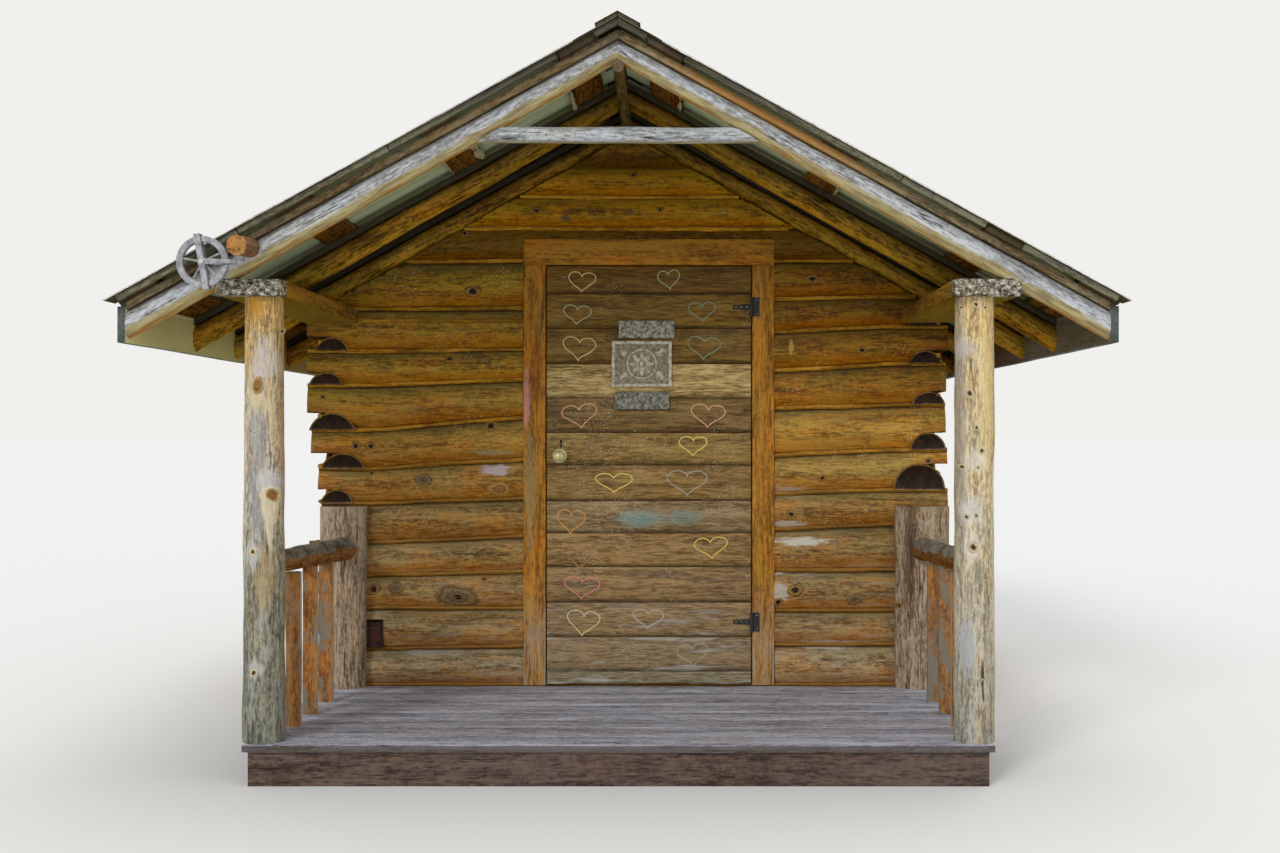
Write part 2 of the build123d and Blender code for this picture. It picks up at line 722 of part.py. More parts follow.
with BuildPart() as relief_plaque:
    with BuildSketch(upright(sign_back)):
        with Locations((RELIEF[0], RELIEF[1])):
            RectangleRounded(RELIEF[2], RELIEF[3], SIGN_CORNER)
    extrude(amount=SIGN_THICKNESS)
    with BuildSketch(upright(sign_back - SIGN_THICKNESS)):
        with Locations((RELIEF[0], RELIEF[1])):
            Rectangle(RELIEF[2] - 2 * RELIEF_BORDER, RELIEF[3] - 2 * RELIEF_BORDER)
    extrude(amount=-RELIEF_DEPTH, mode=Mode.SUBTRACT)
save(relief_plaque, "relief_plaque")


# Porch posts, beams, rails and balusters
def porch_post(side, growth, mode):
    """A peeled pole that tapers towards its head."""
    with Locations((side * post_x, POST_Y, DECK_TOP + FIT)):
        Cone(
            POST_FOOT_RADIUS + growth,
            POST_HEAD_RADIUS + growth,
            beam_underside - DECK_TOP - 2 * FIT,
            align=(Align.CENTER, Align.CENTER, Align.MIN),
            mode=mode,
        )


def rail_post(side, growth, mode):
    """A half log against the wall, flat at its back."""
    centre = side * (WALL_HALF_WIDTH - RAIL_POST_INSET[side])
    half = RAIL_POST_WIDTH[side] / 2 + growth
    back = -wall_face - FIT
    front = back - RAIL_POST_DEPTH - growth
    edge = back - RAIL_POST_EDGE
    with BuildSketch(Plane.XY.offset(DECK_TOP + FIT)) as section:
        with BuildLine():
            Polyline(
                (centre - half, edge), (centre - half, back), (centre + half, back), (centre + half, edge)
            )
            ThreePointArc((centre + half, edge), (centre, front), (centre - half, edge))
        make_face()
    extrude(section.sketch, amount=RAIL_POST_TOP - DECK_TOP - FIT, mode=mode)


def rail_log(side, growth, mode):
    """A round rail from the porch post to the half log at the wall."""
    rear_x = side * (WALL_HALF_WIDTH - RAIL_REAR_INSET[side])
    front_x = side * (WALL_HALF_WIDTH - RAIL_FRONT_INSET[side])
    rear = Vector(rear_x, -wall_face - RAIL_POST_DEPTH / 2, RAIL_REAR_HEIGHT)
    front = Vector(front_x, POST_Y, RAIL_FRONT_HEIGHT)
    along = front - rear
    with BuildSketch(Plane(rear, z_dir=along)) as rear_end:
        Circle(RAIL_REAR_RADIUS + growth)
    with BuildSketch(Plane(front, z_dir=along)) as front_end:
        Circle(RAIL_FRONT_RADIUS + growth)
    loft([rear_end.sketch, front_end.sketch], mode=mode)


with BuildPart() as porch_posts:
    for side in (-1, 1):
        porch_post(side, 0, Mode.ADD)
save(porch_posts, "porch_posts")

with BuildPart() as rail_posts:
    for side in (-1, 1):
        rail_post(side, 0, Mode.ADD)
save(rail_posts, "rail_posts")

with BuildPart() as porch_rails:
    for side in (-1, 1):
        rail_log(side, 0, Mode.ADD)
    for side in (-1, 1):
        porch_post(side, FIT, Mode.SUBTRACT)
        rail_post(side, FIT, Mode.SUBTRACT)
save(porch_rails, "porch_rails")

with BuildPart() as balusters:
    with BuildSketch(Plane.XY.offset(DECK_TOP + FIT)):
        for side in (-1, 1):
            for baluster_y in BALUSTER_YS:
                centre = side * (WALL_HALF_WIDTH - BALUSTER_INSET[side])
                half = BALUSTER_WIDTH / 2
                with BuildLine():
                    Line((centre - half, baluster_y), (centre + half, baluster_y))
                    ThreePointArc(
                        (centre + half, baluster_y),
                        (centre, baluster_y + BALUSTER_DEPTH),
                        (centre - half, baluster_y),
                    )
                make_face()
    extrude(amount=RAIL_REAR_HEIGHT - DECK_TOP)
    for side in (-1, 1):
        rail_log(side, FIT, Mode.SUBTRACT)
    with Locations((0, (POST_Y - wall_face) / 2, RAIL_REAR_HEIGHT - RAIL_REAR_RADIUS / 2)):
        Box(
            2 * deck_half_width,
            -POST_Y - wall_face,
            RAIL_REAR_RADIUS * 2,
            align=(Align.CENTER, Align.CENTER, Align.MIN),
            mode=Mode.SUBTRACT,
        )
save(balusters, "balusters")


def beam_box(side, growth, mode):
    """A flat plank that carries the rafters from the post to the wall."""
    front = BEAM_FRONT + growth
    back = wall_face + FIT - growth
    with Locations((side * beam_x, -(front + back) / 2, beam_underside)):
        Box(
            BEAM_WIDTH + 2 * growth,
            front - back,
            BEAM_DEPTH + growth,
            align=(Align.CENTER, Align.CENTER, Align.MIN),
            mode=mode,
        )


with BuildPart() as porch_beams:
    for side in (-1, 1):
        beam_box(side, 0, Mode.ADD)
save(porch_beams, "porch_beams")


# Roof
def slope_point(side, distance, y, height):
    """A point down the slope from the ridge, above or below the tops of the poles."""
    x = side * (distance * slope_cos + height * slope_sin)
    return Vector(x, y, RIDGE_TOP - distance * slope_sin + height * slope_cos)


def slope_plane(side, height):
    """A plane along one slope: local X runs down it, local Y is side times Y."""
    return Plane(
        slope_point(side, 0, 0, height),
        x_dir=(side * slope_cos, 0, -slope_sin),
        z_dir=(side * slope_sin, 0, slope_cos),
    )


def across_slope(side, distance, height):
    """A plane across one slope: local X is side times Y, local Y stands off the roof."""
    return Plane(
        slope_point(side, distance, 0, height),
        x_dir=(0, side, 0),
        z_dir=(side * slope_cos, 0, -slope_sin),
    )


def rafter_pole(side, y, growth, mode):
    """A tapering pole whose top lies in the slope."""
    radii = []
    centres = []
    for distance in (-POLE_OVERRUN, foot_distance + POLE_OVERRUN):
        radius = (POLE_RIDGE_DIAMETER + taper * distance) / 2
        radii.append(radius + growth)
        centres.append(slope_point(side, distance, y, -radius))
    axis = centres[1] - centres[0]
    with Locations(Plane(centres[0], z_dir=axis).location):
        Cone(radii[0], radii[1], axis.length, align=(Align.CENTER, Align.CENTER, Align.MIN), mode=mode)


def trim_slope(side, outer):
    """Cut a slope's pieces plumb at the ridge and at the eave."""
    low = FIT / 2
    with BuildSketch(upright(SHEET_BACK)) as keep:
        with BuildLine():
            Polyline(
                (side * low, 0),
                (side * outer, 0),
                (side * outer, RIDGE_TOP * 2),
                (side * low, RIDGE_TOP * 2),
                close=True,
            )
        make_face()
    extrude(keep.sketch, amount=SHEET_BACK + SHEET_FRONT, mode=Mode.INTERSECT)


cap_low = FIT
purlin_low = cap_low + ROOF_BOARD + FIT
sheet_low = purlin_low + ROOF_BOARD + FIT
crest = sheet_low + SHEET_METAL + RIB_HEIGHT
sides = {"left": -1, "right": 1}

for name, side in sides.items():
    with BuildPart() as rafters:
        for y in RAFTER_YS:
            rafter_pole(side, y, 0, Mode.ADD)
        trim_slope(side, RAFTER_FOOT)
        beam_box(side, FIT, Mode.SUBTRACT)
    save(rafters, "rafters_" + name)

    with BuildPart() as rafter_caps:
        with BuildSketch(slope_plane(side, cap_low)):
            for y in RAFTER_YS:
                with Locations((foot_distance / 2, side * y)):
                    Rectangle(foot_distance + 2 * POLE_OVERRUN, CAP_WIDTH)
        extrude(amount=ROOF_BOARD)
        trim_slope(side, RAFTER_FOOT)
    save(rafter_caps, "rafter_caps_" + name)

    with BuildPart() as purlins:
        with BuildSketch(slope_plane(side, purlin_low)):
            for x in PURLIN_XS[side]:
                with Locations((x / slope_cos, side * (PURLIN_BACK - PURLIN_FRONT) / 2)):
                    Rectangle(PURLIN_WIDTH, PURLIN_BACK + PURLIN_FRONT)
        extrude(amount=ROOF_BOARD)
    save(purlins, "purlins_" + name)

    with BuildPart() as roof_sheet:
        start = -sheet_low * ROOF_SLOPE + SHEET_RIDGE_GAP
        end = (SHEET_EAVE - sheet_low * slope_sin) / slope_cos
        length = SHEET_BACK + SHEET_FRONT
        rib_count = int(length // RIB_PITCH)
        first_rib = -SHEET_FRONT + (length - (rib_count - 1) * RIB_PITCH) / 2
        outline = [(-SHEET_FRONT, 0)]
        for rib in range(rib_count):
            middle = first_rib + rib * RIB_PITCH
            outline += [
                (middle - RIB_FOOT / 2, 0),
                (middle - RIB_CREST / 2, RIB_HEIGHT),
                (middle + RIB_CREST / 2, RIB_HEIGHT),
                (middle + RIB_FOOT / 2, 0),
            ]
        outline.append((SHEET_BACK, 0))
        under = [(side * y, z) for y, z in outline]
        over = [(side * y, z + SHEET_METAL) for y, z in reversed(outline)]
        with BuildSketch(across_slope(side, start, sheet_low)):
            with BuildLine():
                Polyline(*under, *over, close=True)
            make_face()
        extrude(amount=end - start)
    save(roof_sheet, "roof_sheet_" + name)

# Ridge cap over the ribs of both sheets
with BuildPart() as ridge_cap:
    cap_under = (crest + FIT) / slope_cos
    cap_over = cap_under + SHEET_METAL / slope_cos
    wing = RIDGE_WING * slope_cos
    with BuildSketch(upright(SHEET_BACK)):
        with BuildLine():
            Polyline(
                (0, RIDGE_TOP + cap_under),
                (wing, RIDGE_TOP + cap_under - wing * ROOF_SLOPE),
                (wing, RIDGE_TOP + cap_over - wing * ROOF_SLOPE),
                (0, RIDGE_TOP + cap_over),
                (-wing, RIDGE_TOP + cap_over - wing * ROOF_SLOPE),
                (-wing, RIDGE_TOP + cap_under - wing * ROOF_SLOPE),
                close=True,
            )
        make_face()
    extrude(amount=SHEET_BACK + SHEET_FRONT)
save(ridge_cap, "ridge_cap")

with BuildPart() as ridge_pole:
    with BuildSketch(upright(FASCIA_BACK)):
        with Locations((0, ridge_pole_z)):
            Circle(RIDGE_POLE_RADIUS)
    extrude(amount=FASCIA_BACK + RIDGE_POLE_FRONT)
save(ridge_pole, "ridge_pole")

# Collar tie between the front rafters, cut to their undersides
with BuildPart() as collar_tie:
    reach = (under_ridge - COLLAR_HEIGHT) / under_slope + COLLAR_RADIUS * 2
    with BuildSketch(Plane.YZ.offset(-reach)):
        with Locations((RAFTER_YS[0], COLLAR_HEIGHT)):
            Circle(COLLAR_RADIUS)
    extrude(amount=2 * reach)
    with BuildSketch(upright(RAFTER_YS[0])):
        roof_cuts()
    extrude(amount=COLLAR_RADIUS * 2, both=True, mode=Mode.SUBTRACT)
save(collar_tie, "collar_tie")

fascia_inner = RAFTER_FOOT + FIT
fascia_outer = fascia_inner + FASCIA_THICKNESS
fascia_top = RIDGE_TOP + (cap_low + ROOF_BOARD) / slope_cos - ROOF_SLOPE * fascia_outer
with BuildPart() as fascia_boards:
    with BuildSketch(upright(FASCIA_BACK)):
        for side in (-1, 1):
            low = min(side * fascia_inner, side * fascia_outer)
            rectangle(low, fascia_top - FASCIA_HEIGHT, low + FASCIA_THICKNESS, fascia_top)
    extrude(amount=FASCIA_BACK + FASCIA_FRONT)
save(fascia_boards, "fascia_boards")

# Pulley: a peg on the verge rafter, a hook under it and the block on the hook
with BuildPart() as pulley_peg:
    rear = Vector(PEG_X, RAFTER_YS[0], peg_rear_z)
    front = Vector(PEG_X, -PEG_FRONT, peg_rear_z - PEG_FALL)
    with BuildSketch(Plane(rear, z_dir=front - rear)):
        Circle(PEG_RADIUS)
    extrude(amount=(front - rear).length)
    rafter_pole(-1, RAFTER_YS[0], FIT, Mode.SUBTRACT)
    with BuildSketch(upright(RAFTER_YS[0] + PEG_RADIUS * 2)):
        rectangle(PEG_X - PEG_RADIUS * 2, 0, PEG_X + PEG_RADIUS * 2, RIDGE_TOP)
    extrude(amount=PEG_RADIUS * 2 + CAP_WIDTH / 2 + FIT, mode=Mode.SUBTRACT)
    peg_slope = PEG_FALL / (PEG_FRONT + RAFTER_YS[0])
    hook_top = peg_rear_z - peg_slope * (RAFTER_YS[0] - PULLEY_Y + HOOK_HALF_SPAN) - PEG_RADIUS + HOOK_ROOT
    with Locations((EYE_X, PULLEY_Y - HOOK_HALF_SPAN, eye_z)):
        Cylinder(
            HOOK_RADIUS + FIT,
            hook_top - eye_z + FIT,
            align=(Align.CENTER, Align.CENTER, Align.MIN),
            mode=Mode.SUBTRACT,
        )
save(pulley_peg, "pulley_peg")

with BuildPart() as pulley_hook:
    shank_y = PULLEY_Y - HOOK_HALF_SPAN
    tip_y = PULLEY_Y + HOOK_HALF_SPAN
    with BuildLine() as hook_path:
        FilletPolyline(
            (EYE_X, shank_y, hook_top),
            (EYE_X, shank_y, eye_z),
            (EYE_X, tip_y, eye_z),
            (EYE_X, tip_y, eye_z + HOOK_TIP),
            radius=HOOK_BEND,
        )
    with BuildSketch(Plane((EYE_X, shank_y, hook_top), z_dir=(0, 0, -1))):
        Circle(HOOK_RADIUS)
    sweep(path=hook_path.wires()[0])
save(pulley_hook, "pulley_hook")

arm = Vector(EYE_X - AXLE_X, 0, eye_z - axle_z)
arm_angle = math.degrees(math.atan2(arm.Z, arm.X))
guard_radius = WHEEL_RADIUS + GUARD_GAP
plate_outside = PLATE_INSIDE + PLATE


def pulley_plane(y):
    """A plane that faces the front, centred on the axle."""
    return Plane((AXLE_X, y, axle_z), x_dir=(1, 0, 0), z_dir=(0, -1, 0))


with BuildPart() as pulley_frame:
    # the arm's two straps, seen from above, meet at the eye
    arm_plane = Plane(
        (AXLE_X, PULLEY_Y, axle_z),
        x_dir=(math.cos(math.radians(arm_angle)), 0, math.sin(math.radians(arm_angle))),
        z_dir=(-math.sin(math.radians(arm_angle)), 0, math.cos(math.radians(arm_angle))),
    )
    with BuildSketch(arm_plane):
        for turn in (-1, 1):
            with BuildLine():
                Polyline(
                    (0, turn * PLATE_INSIDE),
                    (ARM_BEND_START, turn * PLATE_INSIDE),
                    (ARM_BEND_END, 0),
                    (arm.length + EYE_RADIUS, 0),
                    (arm.length + EYE_RADIUS, turn * PLATE),
                    (ARM_BEND_END + PLATE / 2, turn * PLATE),
                    (ARM_BEND_START + PLATE / 2, turn * plate_outside),
                    (0, turn * plate_outside),
                    close=True,
                )
            make_face()
    extrude(amount=ARM_ROOT_WIDTH, both=True)
    with BuildSketch(pulley_plane(PULLEY_Y + plate_outside)):
        with Locations(Location((0, 0), arm_angle)):
            with BuildLine():
                Polyline(
                    (-ARM_ROOT_WIDTH / 2, -ARM_ROOT_WIDTH / 2),
                    (arm.length, -ARM_TIP_WIDTH / 2),
                    (arm.length, ARM_TIP_WIDTH / 2),
                    (-ARM_ROOT_WIDTH / 2, ARM_ROOT_WIDTH / 2),
                    close=True,
                )
            make_face()
        with Locations((arm.X, arm.Z)):
            Circle(EYE_RADIUS)
    extrude(amount=2 * plate_outside, mode=Mode.INTERSECT)
    # the crossbar in front and behind, joined by a guard at each end
    for face_y in (PULLEY_Y + plate_outside, PULLEY_Y - PLATE_INSIDE):
        with BuildSketch(pulley_plane(face_y)):
            Rectangle(2 * (guard_radius + PLATE), CROSSBAR_WIDTH, rotation=CROSSBAR_ANGLE)
        extrude(amount=PLATE)
    with BuildSketch(pulley_plane(PULLEY_Y + plate_outside)):
        with PolarLocations(guard_radius + PLATE / 2, 2, CROSSBAR_ANGLE):
            Rectangle(PLATE, CROSSBAR_WIDTH)
    extrude(amount=2 * plate_outside)
    with BuildSketch(pulley_plane(PULLEY_Y + plate_outside)):
        Circle(AXLE_RADIUS + PIN_FIT)
        with Locations((arm.X, arm.Z)):
            Circle(HOOK_RADIUS + PIN_FIT)
    extrude(amount=2 * plate_outside, mode=Mode.SUBTRACT)
save(pulley_frame, "pulley_frame")

with BuildPart() as pulley_axle:
    with BuildSketch(pulley_plane(PULLEY_Y + plate_outside + FIT)):
        Circle(AXLE_RADIUS)
    extrude(amount=2 * (plate_outside + FIT))
    for face_y, out in ((PULLEY_Y + plate_outside + FIT, -1), (PULLEY_Y - plate_outside - FIT, 1)):
        with BuildSketch(pulley_plane(face_y)):
            Circle(AXLE_HEAD_RADIUS)
        extrude(amount=out * PLATE)
save(pulley_axle, "pulley_axle")

with BuildPart() as pulley_wheel:
    section = Plane((AXLE_X, PULLEY_Y, axle_z), x_dir=(1, 0, 0), z_dir=(0, 0, 1))
    half_rim = RIM_WIDTH / 2
    rim_inner = WHEEL_RADIUS - RIM_DEPTH
    with BuildSketch(section):
        with BuildLine():
            Polyline(
                (rim_inner, -half_rim + RIM_CHAMFER),
                (rim_inner + RIM_CHAMFER, -half_rim),
                (WHEEL_RADIUS, -half_rim),
                (WHEEL_RADIUS, -half_rim + RIM_LIP),
                (WHEEL_RADIUS - GROOVE_DEPTH, -RIM_LIP),
                (WHEEL_RADIUS - GROOVE_DEPTH, RIM_LIP),
                (WHEEL_RADIUS, half_rim - RIM_LIP),
                (WHEEL_RADIUS, half_rim),
                (rim_inner + RIM_CHAMFER, half_rim),
                (rim_inner, half_rim - RIM_CHAMFER),
                close=True,
            )
        make_face()
        rectangle(AXLE_RADIUS + PIN_FIT, -HUB_WIDTH / 2, HUB_RADIUS, HUB_WIDTH / 2)
    revolve(axis=Axis((AXLE_X, PULLEY_Y, axle_z), (0, 1, 0)))
    for spoke in range(SPOKES):
        angle = math.radians(FIRST_SPOKE + spoke * 360 / SPOKES)
        outward = Vector(math.cos(angle), 0, math.sin(angle))
        root = Vector(AXLE_X, PULLEY_Y, axle_z) + outward * (HUB_RADIUS - SPOKE_ROOT)
        with BuildSketch(Plane(root, z_dir=outward)):
            Circle(SPOKE_RADIUS)
        extrude(amount=rim_inner - HUB_RADIUS + 2 * SPOKE_ROOT)
save(pulley_wheel, "pulley_wheel")
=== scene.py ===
import math
import random

import bpy
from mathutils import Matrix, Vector, noise
from mathutils.bvhtree import BVHTree


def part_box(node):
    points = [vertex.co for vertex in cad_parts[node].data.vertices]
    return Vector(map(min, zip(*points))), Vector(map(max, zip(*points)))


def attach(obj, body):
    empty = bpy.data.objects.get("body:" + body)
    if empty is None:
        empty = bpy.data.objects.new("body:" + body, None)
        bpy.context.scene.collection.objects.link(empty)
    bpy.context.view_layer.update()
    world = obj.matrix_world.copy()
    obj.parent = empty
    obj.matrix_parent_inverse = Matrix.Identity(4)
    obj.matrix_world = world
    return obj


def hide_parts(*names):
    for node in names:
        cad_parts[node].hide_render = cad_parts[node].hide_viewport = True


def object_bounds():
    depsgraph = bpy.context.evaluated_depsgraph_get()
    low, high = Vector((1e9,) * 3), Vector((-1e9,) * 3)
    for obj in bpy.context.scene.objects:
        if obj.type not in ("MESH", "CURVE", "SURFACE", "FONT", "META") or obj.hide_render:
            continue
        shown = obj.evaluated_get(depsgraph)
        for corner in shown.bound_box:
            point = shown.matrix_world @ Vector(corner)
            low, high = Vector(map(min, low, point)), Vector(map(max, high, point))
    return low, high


# A small log cabin with a front porch. Metres, +Z up, the front faces -Y.

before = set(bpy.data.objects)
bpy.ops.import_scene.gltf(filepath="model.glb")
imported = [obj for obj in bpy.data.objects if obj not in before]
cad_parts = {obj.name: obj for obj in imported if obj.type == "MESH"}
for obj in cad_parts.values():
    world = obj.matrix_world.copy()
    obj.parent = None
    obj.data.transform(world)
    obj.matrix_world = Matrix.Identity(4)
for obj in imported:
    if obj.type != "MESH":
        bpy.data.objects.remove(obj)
cad_low, cad_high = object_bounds()

CAMERA_PLACE = (0.203, -7.485, 1.256)
FOCAL_PIXELS = 1396.0
PHOTO_WIDTH = 1280.0
PHOTO_HEIGHT = 853.0
VANISHING_PIXEL = (675.0, 437.0)
SENSOR_WIDTH = 36.0

MERGE_DISTANCE = 0.00005
SMOOTH_ANGLE = math.radians(42)
X_AXIS = Vector((1, 0, 0))
Y_AXIS = Vector((0, 1, 0))
Z_AXIS = Vector((0, 0, 1))
ROOF_SLOPE = 0.5535
DOWN_SLOPE = {side: Vector((side, 0, -ROOF_SLOPE)).normalized() for side in (-1, 1)}
OFF_SLOPE = {side: Vector((side * ROOF_SLOPE, 0, 1)).normalized() for side in (-1, 1)}

# The wander of edges and faces is drawn from this seed
NOISE_SEED = 8
noise.seed_set(NOISE_SEED)


# Small helpers


def colour(red, green, blue):
    """A display colour, 0 to 255, as the linear colour that a socket takes."""
    parts = []
    for value in (red, green, blue):
        share = value / 255
        parts.append(share / 12.92 if share <= 0.04045 else ((share + 0.055) / 1.055) ** 2.4)
    return (*parts, 1.0)


def activate(piece):
    bpy.ops.object.select_all(action="DESELECT")
    piece.select_set(True)
    bpy.context.view_layer.objects.active = piece


def edit(piece, kind="FACE"):
    activate(piece)
    bpy.ops.object.mode_set(mode="EDIT")
    bpy.ops.mesh.select_mode(type=kind)


def finish_edit():
    bpy.ops.object.mode_set(mode="OBJECT")


def choose_faces(piece, test):
    """Select only the faces that pass a test of their middle and normal."""
    choose_nothing(piece.data)
    for face in piece.data.polygons:
        face.select = test(face.center, face.normal)


def choose_nothing(mesh):
    for elements in (mesh.vertices, mesh.edges, mesh.polygons):
        for element in elements:
            element.select = False


def new_cube(location=(0, 0, 0), scale=(1, 1, 1)):
    bpy.ops.object.select_all(action="DESELECT")
    bpy.ops.mesh.primitive_cube_add(size=1, location=location, scale=scale)
    return bpy.context.view_layer.objects.active


def new_ball(segments=16):
    bpy.ops.object.select_all(action="DESELECT")
    bpy.ops.mesh.primitive_uv_sphere_add(segments=segments, ring_count=8, radius=1, location=(0, 0, 0))
    return bpy.context.view_layer.objects.active


def lay_flat(piece):
    """Put a primitive's place, turn and size into its mesh."""
    activate(piece)
    bpy.ops.object.transform_apply(location=True, rotation=True, scale=True)


def round_all_edges(piece, width, segments=1):
    edit(piece)
    bpy.ops.mesh.select_all(action="SELECT")
    bpy.ops.mesh.bevel(offset=width, segments=segments)
    finish_edit()


def wear_edges(piece, width, angle=50):
    """Round off the edges that are sharper than an angle in degrees."""
    edges = piece.modifiers.new("worn_edges", "BEVEL")
    edges.width = width
    edges.segments = 2
    edges.limit_method = "ANGLE"
    edges.angle_limit = math.radians(angle)
    activate(piece)
    bpy.ops.object.modifier_apply(modifier=edges.name)


def new_piece(name, mesh):
    piece = bpy.data.objects.new(name, mesh)
    bpy.context.scene.collection.objects.link(piece)
    return piece


def working_copy(node, name):
    """A copy of a CAD node, with its doubles merged and its flat faces made whole."""
    piece = new_piece(name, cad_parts[node].data.copy())
    piece.data.materials.clear()
    edit(piece)
    bpy.ops.mesh.select_all(action="SELECT")
    bpy.ops.mesh.customdata_custom_splitnormals_clear()
    bpy.ops.mesh.remove_doubles(threshold=MERGE_DISTANCE)
    bpy.ops.mesh.dissolve_limited(angle_limit=math.radians(0.5))
    finish_edit()
    return piece


def slice_across(piece, axis, step):
    """Cut a piece into slices along an axis, so that it can bend and wander."""
    reach = [vertex.co.dot(axis) for vertex in piece.data.vertices]
    low, high = min(reach), max(reach)
    cuts = max(1, round((high - low) / step))
    edit(piece)
    for cut in range(1, cuts):
        place = axis * (low + (high - low) * cut / cuts)
        bpy.ops.mesh.select_all(action="SELECT")
        bpy.ops.mesh.bisect(plane_co=place, plane_no=axis)
    finish_edit()


def drift(point, length, reach, seed):
    """A smooth wander of a point: about the same for near points."""
    return noise.noise_vector(point / length + Vector((seed, seed * 1.7, -seed))) * reach


def wander(piece, length, reach, seed, along=None):
    """Move a piece's points by a smooth wander, but not along its grain."""
    for vertex in piece.data.vertices:
        move = drift(vertex.co, length, reach, seed) + drift(vertex.co, length / 4, reach / 4, seed + 5)
        if along is not None:
            move -= along * move.dot(along)
        vertex.co += move
        vertex.co.z = max(vertex.co.z, cad_low.z)


def loose_parts(mesh):
    """Lists of the vertices of each loose part, from the lowest, leftmost part up."""
    links = [[] for vertex in mesh.vertices]
    for edge in mesh.edges:
        first, second = edge.vertices
        links[first].append(second)
        links[second].append(first)
    seen = [False] * len(links)
    parts = []
    for start in range(len(links)):
        if seen[start]:
            continue
        seen[start] = True
        part = [start]
        for place in part:
            for other in links[place]:
                if not seen[other]:
                    seen[other] = True
                    part.append(other)
        parts.append(part)

    def order(part):
        middle = sum((mesh.vertices[index].co for index in part), Vector()) / len(part)
        return (round(middle.z, 3), round(middle.x, 3), round(middle.y, 3))

    return sorted(parts, key=order)


def lay_values(mesh, name, values):
    mesh.attributes.new(name, "FLOAT", "POINT").data.foreach_set("value", values)


def lay_grain(piece, seed, along=None):
    """Give each loose part its own grain: along, across and out, and a tone from 0 to 1."""
    mesh = piece.data
    draw = random.Random(seed)
    grain = [0.0] * (3 * len(mesh.vertices))
    tone = [0.0] * len(mesh.vertices)
    for part in loose_parts(mesh):
        points = [mesh.vertices[index].co for index in part]
        if along is None:
            spans = [max(p[axis] for p in points) - min(p[axis] for p in points) for axis in range(3)]
            run = (X_AXIS, Y_AXIS, Z_AXIS)[spans.index(max(spans))]
        else:
            run = along
        across = run.cross(Z_AXIS if abs(run.z) < 0.9 else X_AXIS).normalized()
        out = run.cross(across)
        shift = Vector((draw.uniform(-9, 9), draw.uniform(-9, 9), draw.uniform(-9, 9)))
        part_tone = draw.random()
        for index in part:
            point = mesh.vertices[index].co
            grain[3 * index:3 * index + 3] = (
                point.dot(run) + shift.x, point.dot(across) + shift.y, point.dot(out) + shift.z
            )
            tone[index] = part_tone
    mesh.attributes.new("grain", "FLOAT_VECTOR", "POINT").data.foreach_set("vector", grain)
    lay_values(mesh, "tone", tone)


def lay_rise(piece, along, step):
    """Give each point its height within its own log or board, from 0 at the lower joint to 1 at the upper."""
    mesh = piece.data
    rise = [0.5] * len(mesh.vertices)
    for part in loose_parts(mesh):
        limits = {}
        for index in part:
            point = mesh.vertices[index].co
            place = round(point.dot(along) / step)
            low, high = limits.get(place, (point.z, point.z))
            limits[place] = (min(low, point.z), max(high, point.z))
        for index in part:
            point = mesh.vertices[index].co
            low, high = limits[round(point.dot(along) / step)]
            rise[index] = (point.z - low) / (high - low) if high - low > 0.05 else 0.5
    lay_values(mesh, "log_rise", rise)


def dress(piece, materials, body="cabin", replaces=(), pick=None):
    """Smooth a finished piece, give it its materials and let it ride."""
    for material in materials:
        piece.data.materials.append(material)
    if pick is not None:
        for face in piece.data.polygons:
            face.material_index = pick(face.center, face.normal)
    activate(piece)
    bpy.ops.object.shade_smooth_by_angle(angle=SMOOTH_ANGLE)
    for node in replaces:
        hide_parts(node)
    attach(piece, body)
    return piece


def in_metres(rows):
    """Rows of two places and two sizes in millimetres, and a kind or colour, with metres instead."""
    return [(*(number / 1000 for number in row[:4]), row[4]) for row in rows]


def join_pieces(pieces, name):
    bpy.ops.object.select_all(action="DESELECT")
    for piece in pieces:
        piece.select_set(True)
    bpy.context.view_layer.objects.active = pieces[0]
    if len(pieces) > 1:
        bpy.ops.object.join()
    pieces[0].name = name
    return pieces[0]


def strip_along(name, points, radius, closed=False, rounds=2, vary=0.0, seed=0):
    """A round strip through points, made as a curve and turned into a mesh."""
    curve = bpy.data.curves.new(name, "CURVE")
    curve.dimensions = "3D"
    curve.bevel_depth = radius
    curve.bevel_resolution = rounds
    curve.use_fill_caps = not closed
    line = curve.splines.new("POLY")
    line.points.add(len(points) - 1)
    line.use_cyclic_u = closed
    for place, point in zip(line.points, points):
        place.co = (*point, 1)
        place.radius = 1 + vary * noise.noise(Vector(point) * 9 + Vector((seed, 0, 0)))
    strip = bpy.data.objects.new(name, curve)
    bpy.context.scene.collection.objects.link(strip)
    activate(strip)
    bpy.ops.object.convert(target="MESH")
    return bpy.context.view_layer.objects.active


# Materials


def node(tree, kind, **settings):
    made = tree.nodes.new(kind)
    for name, value in settings.items():
        setattr(made, name, value)
    return made


def plug(tree, source, socket):
    """Give a socket another node's output, a value, or a display colour as three numbers."""
    if hasattr(source, "is_output"):
        tree.links.new(source, socket)
    elif isinstance(source, tuple) and len(source) == 3:
        socket.default_value = colour(*source)
    else:
        socket.default_value = source


def maths(tree, operation, first, second=0.0, clamp=False):
    made = node(tree, "ShaderNodeMath", operation=operation, use_clamp=clamp)
    plug(tree, first, made.inputs[0])
    plug(tree, second, made.inputs[1])
    return made.outputs[0]


def times(tree, first, second, clamp=False):
    return maths(tree, "MULTIPLY", first, second, clamp)


def plus(tree, first, second):
    return maths(tree, "ADD", first, second)


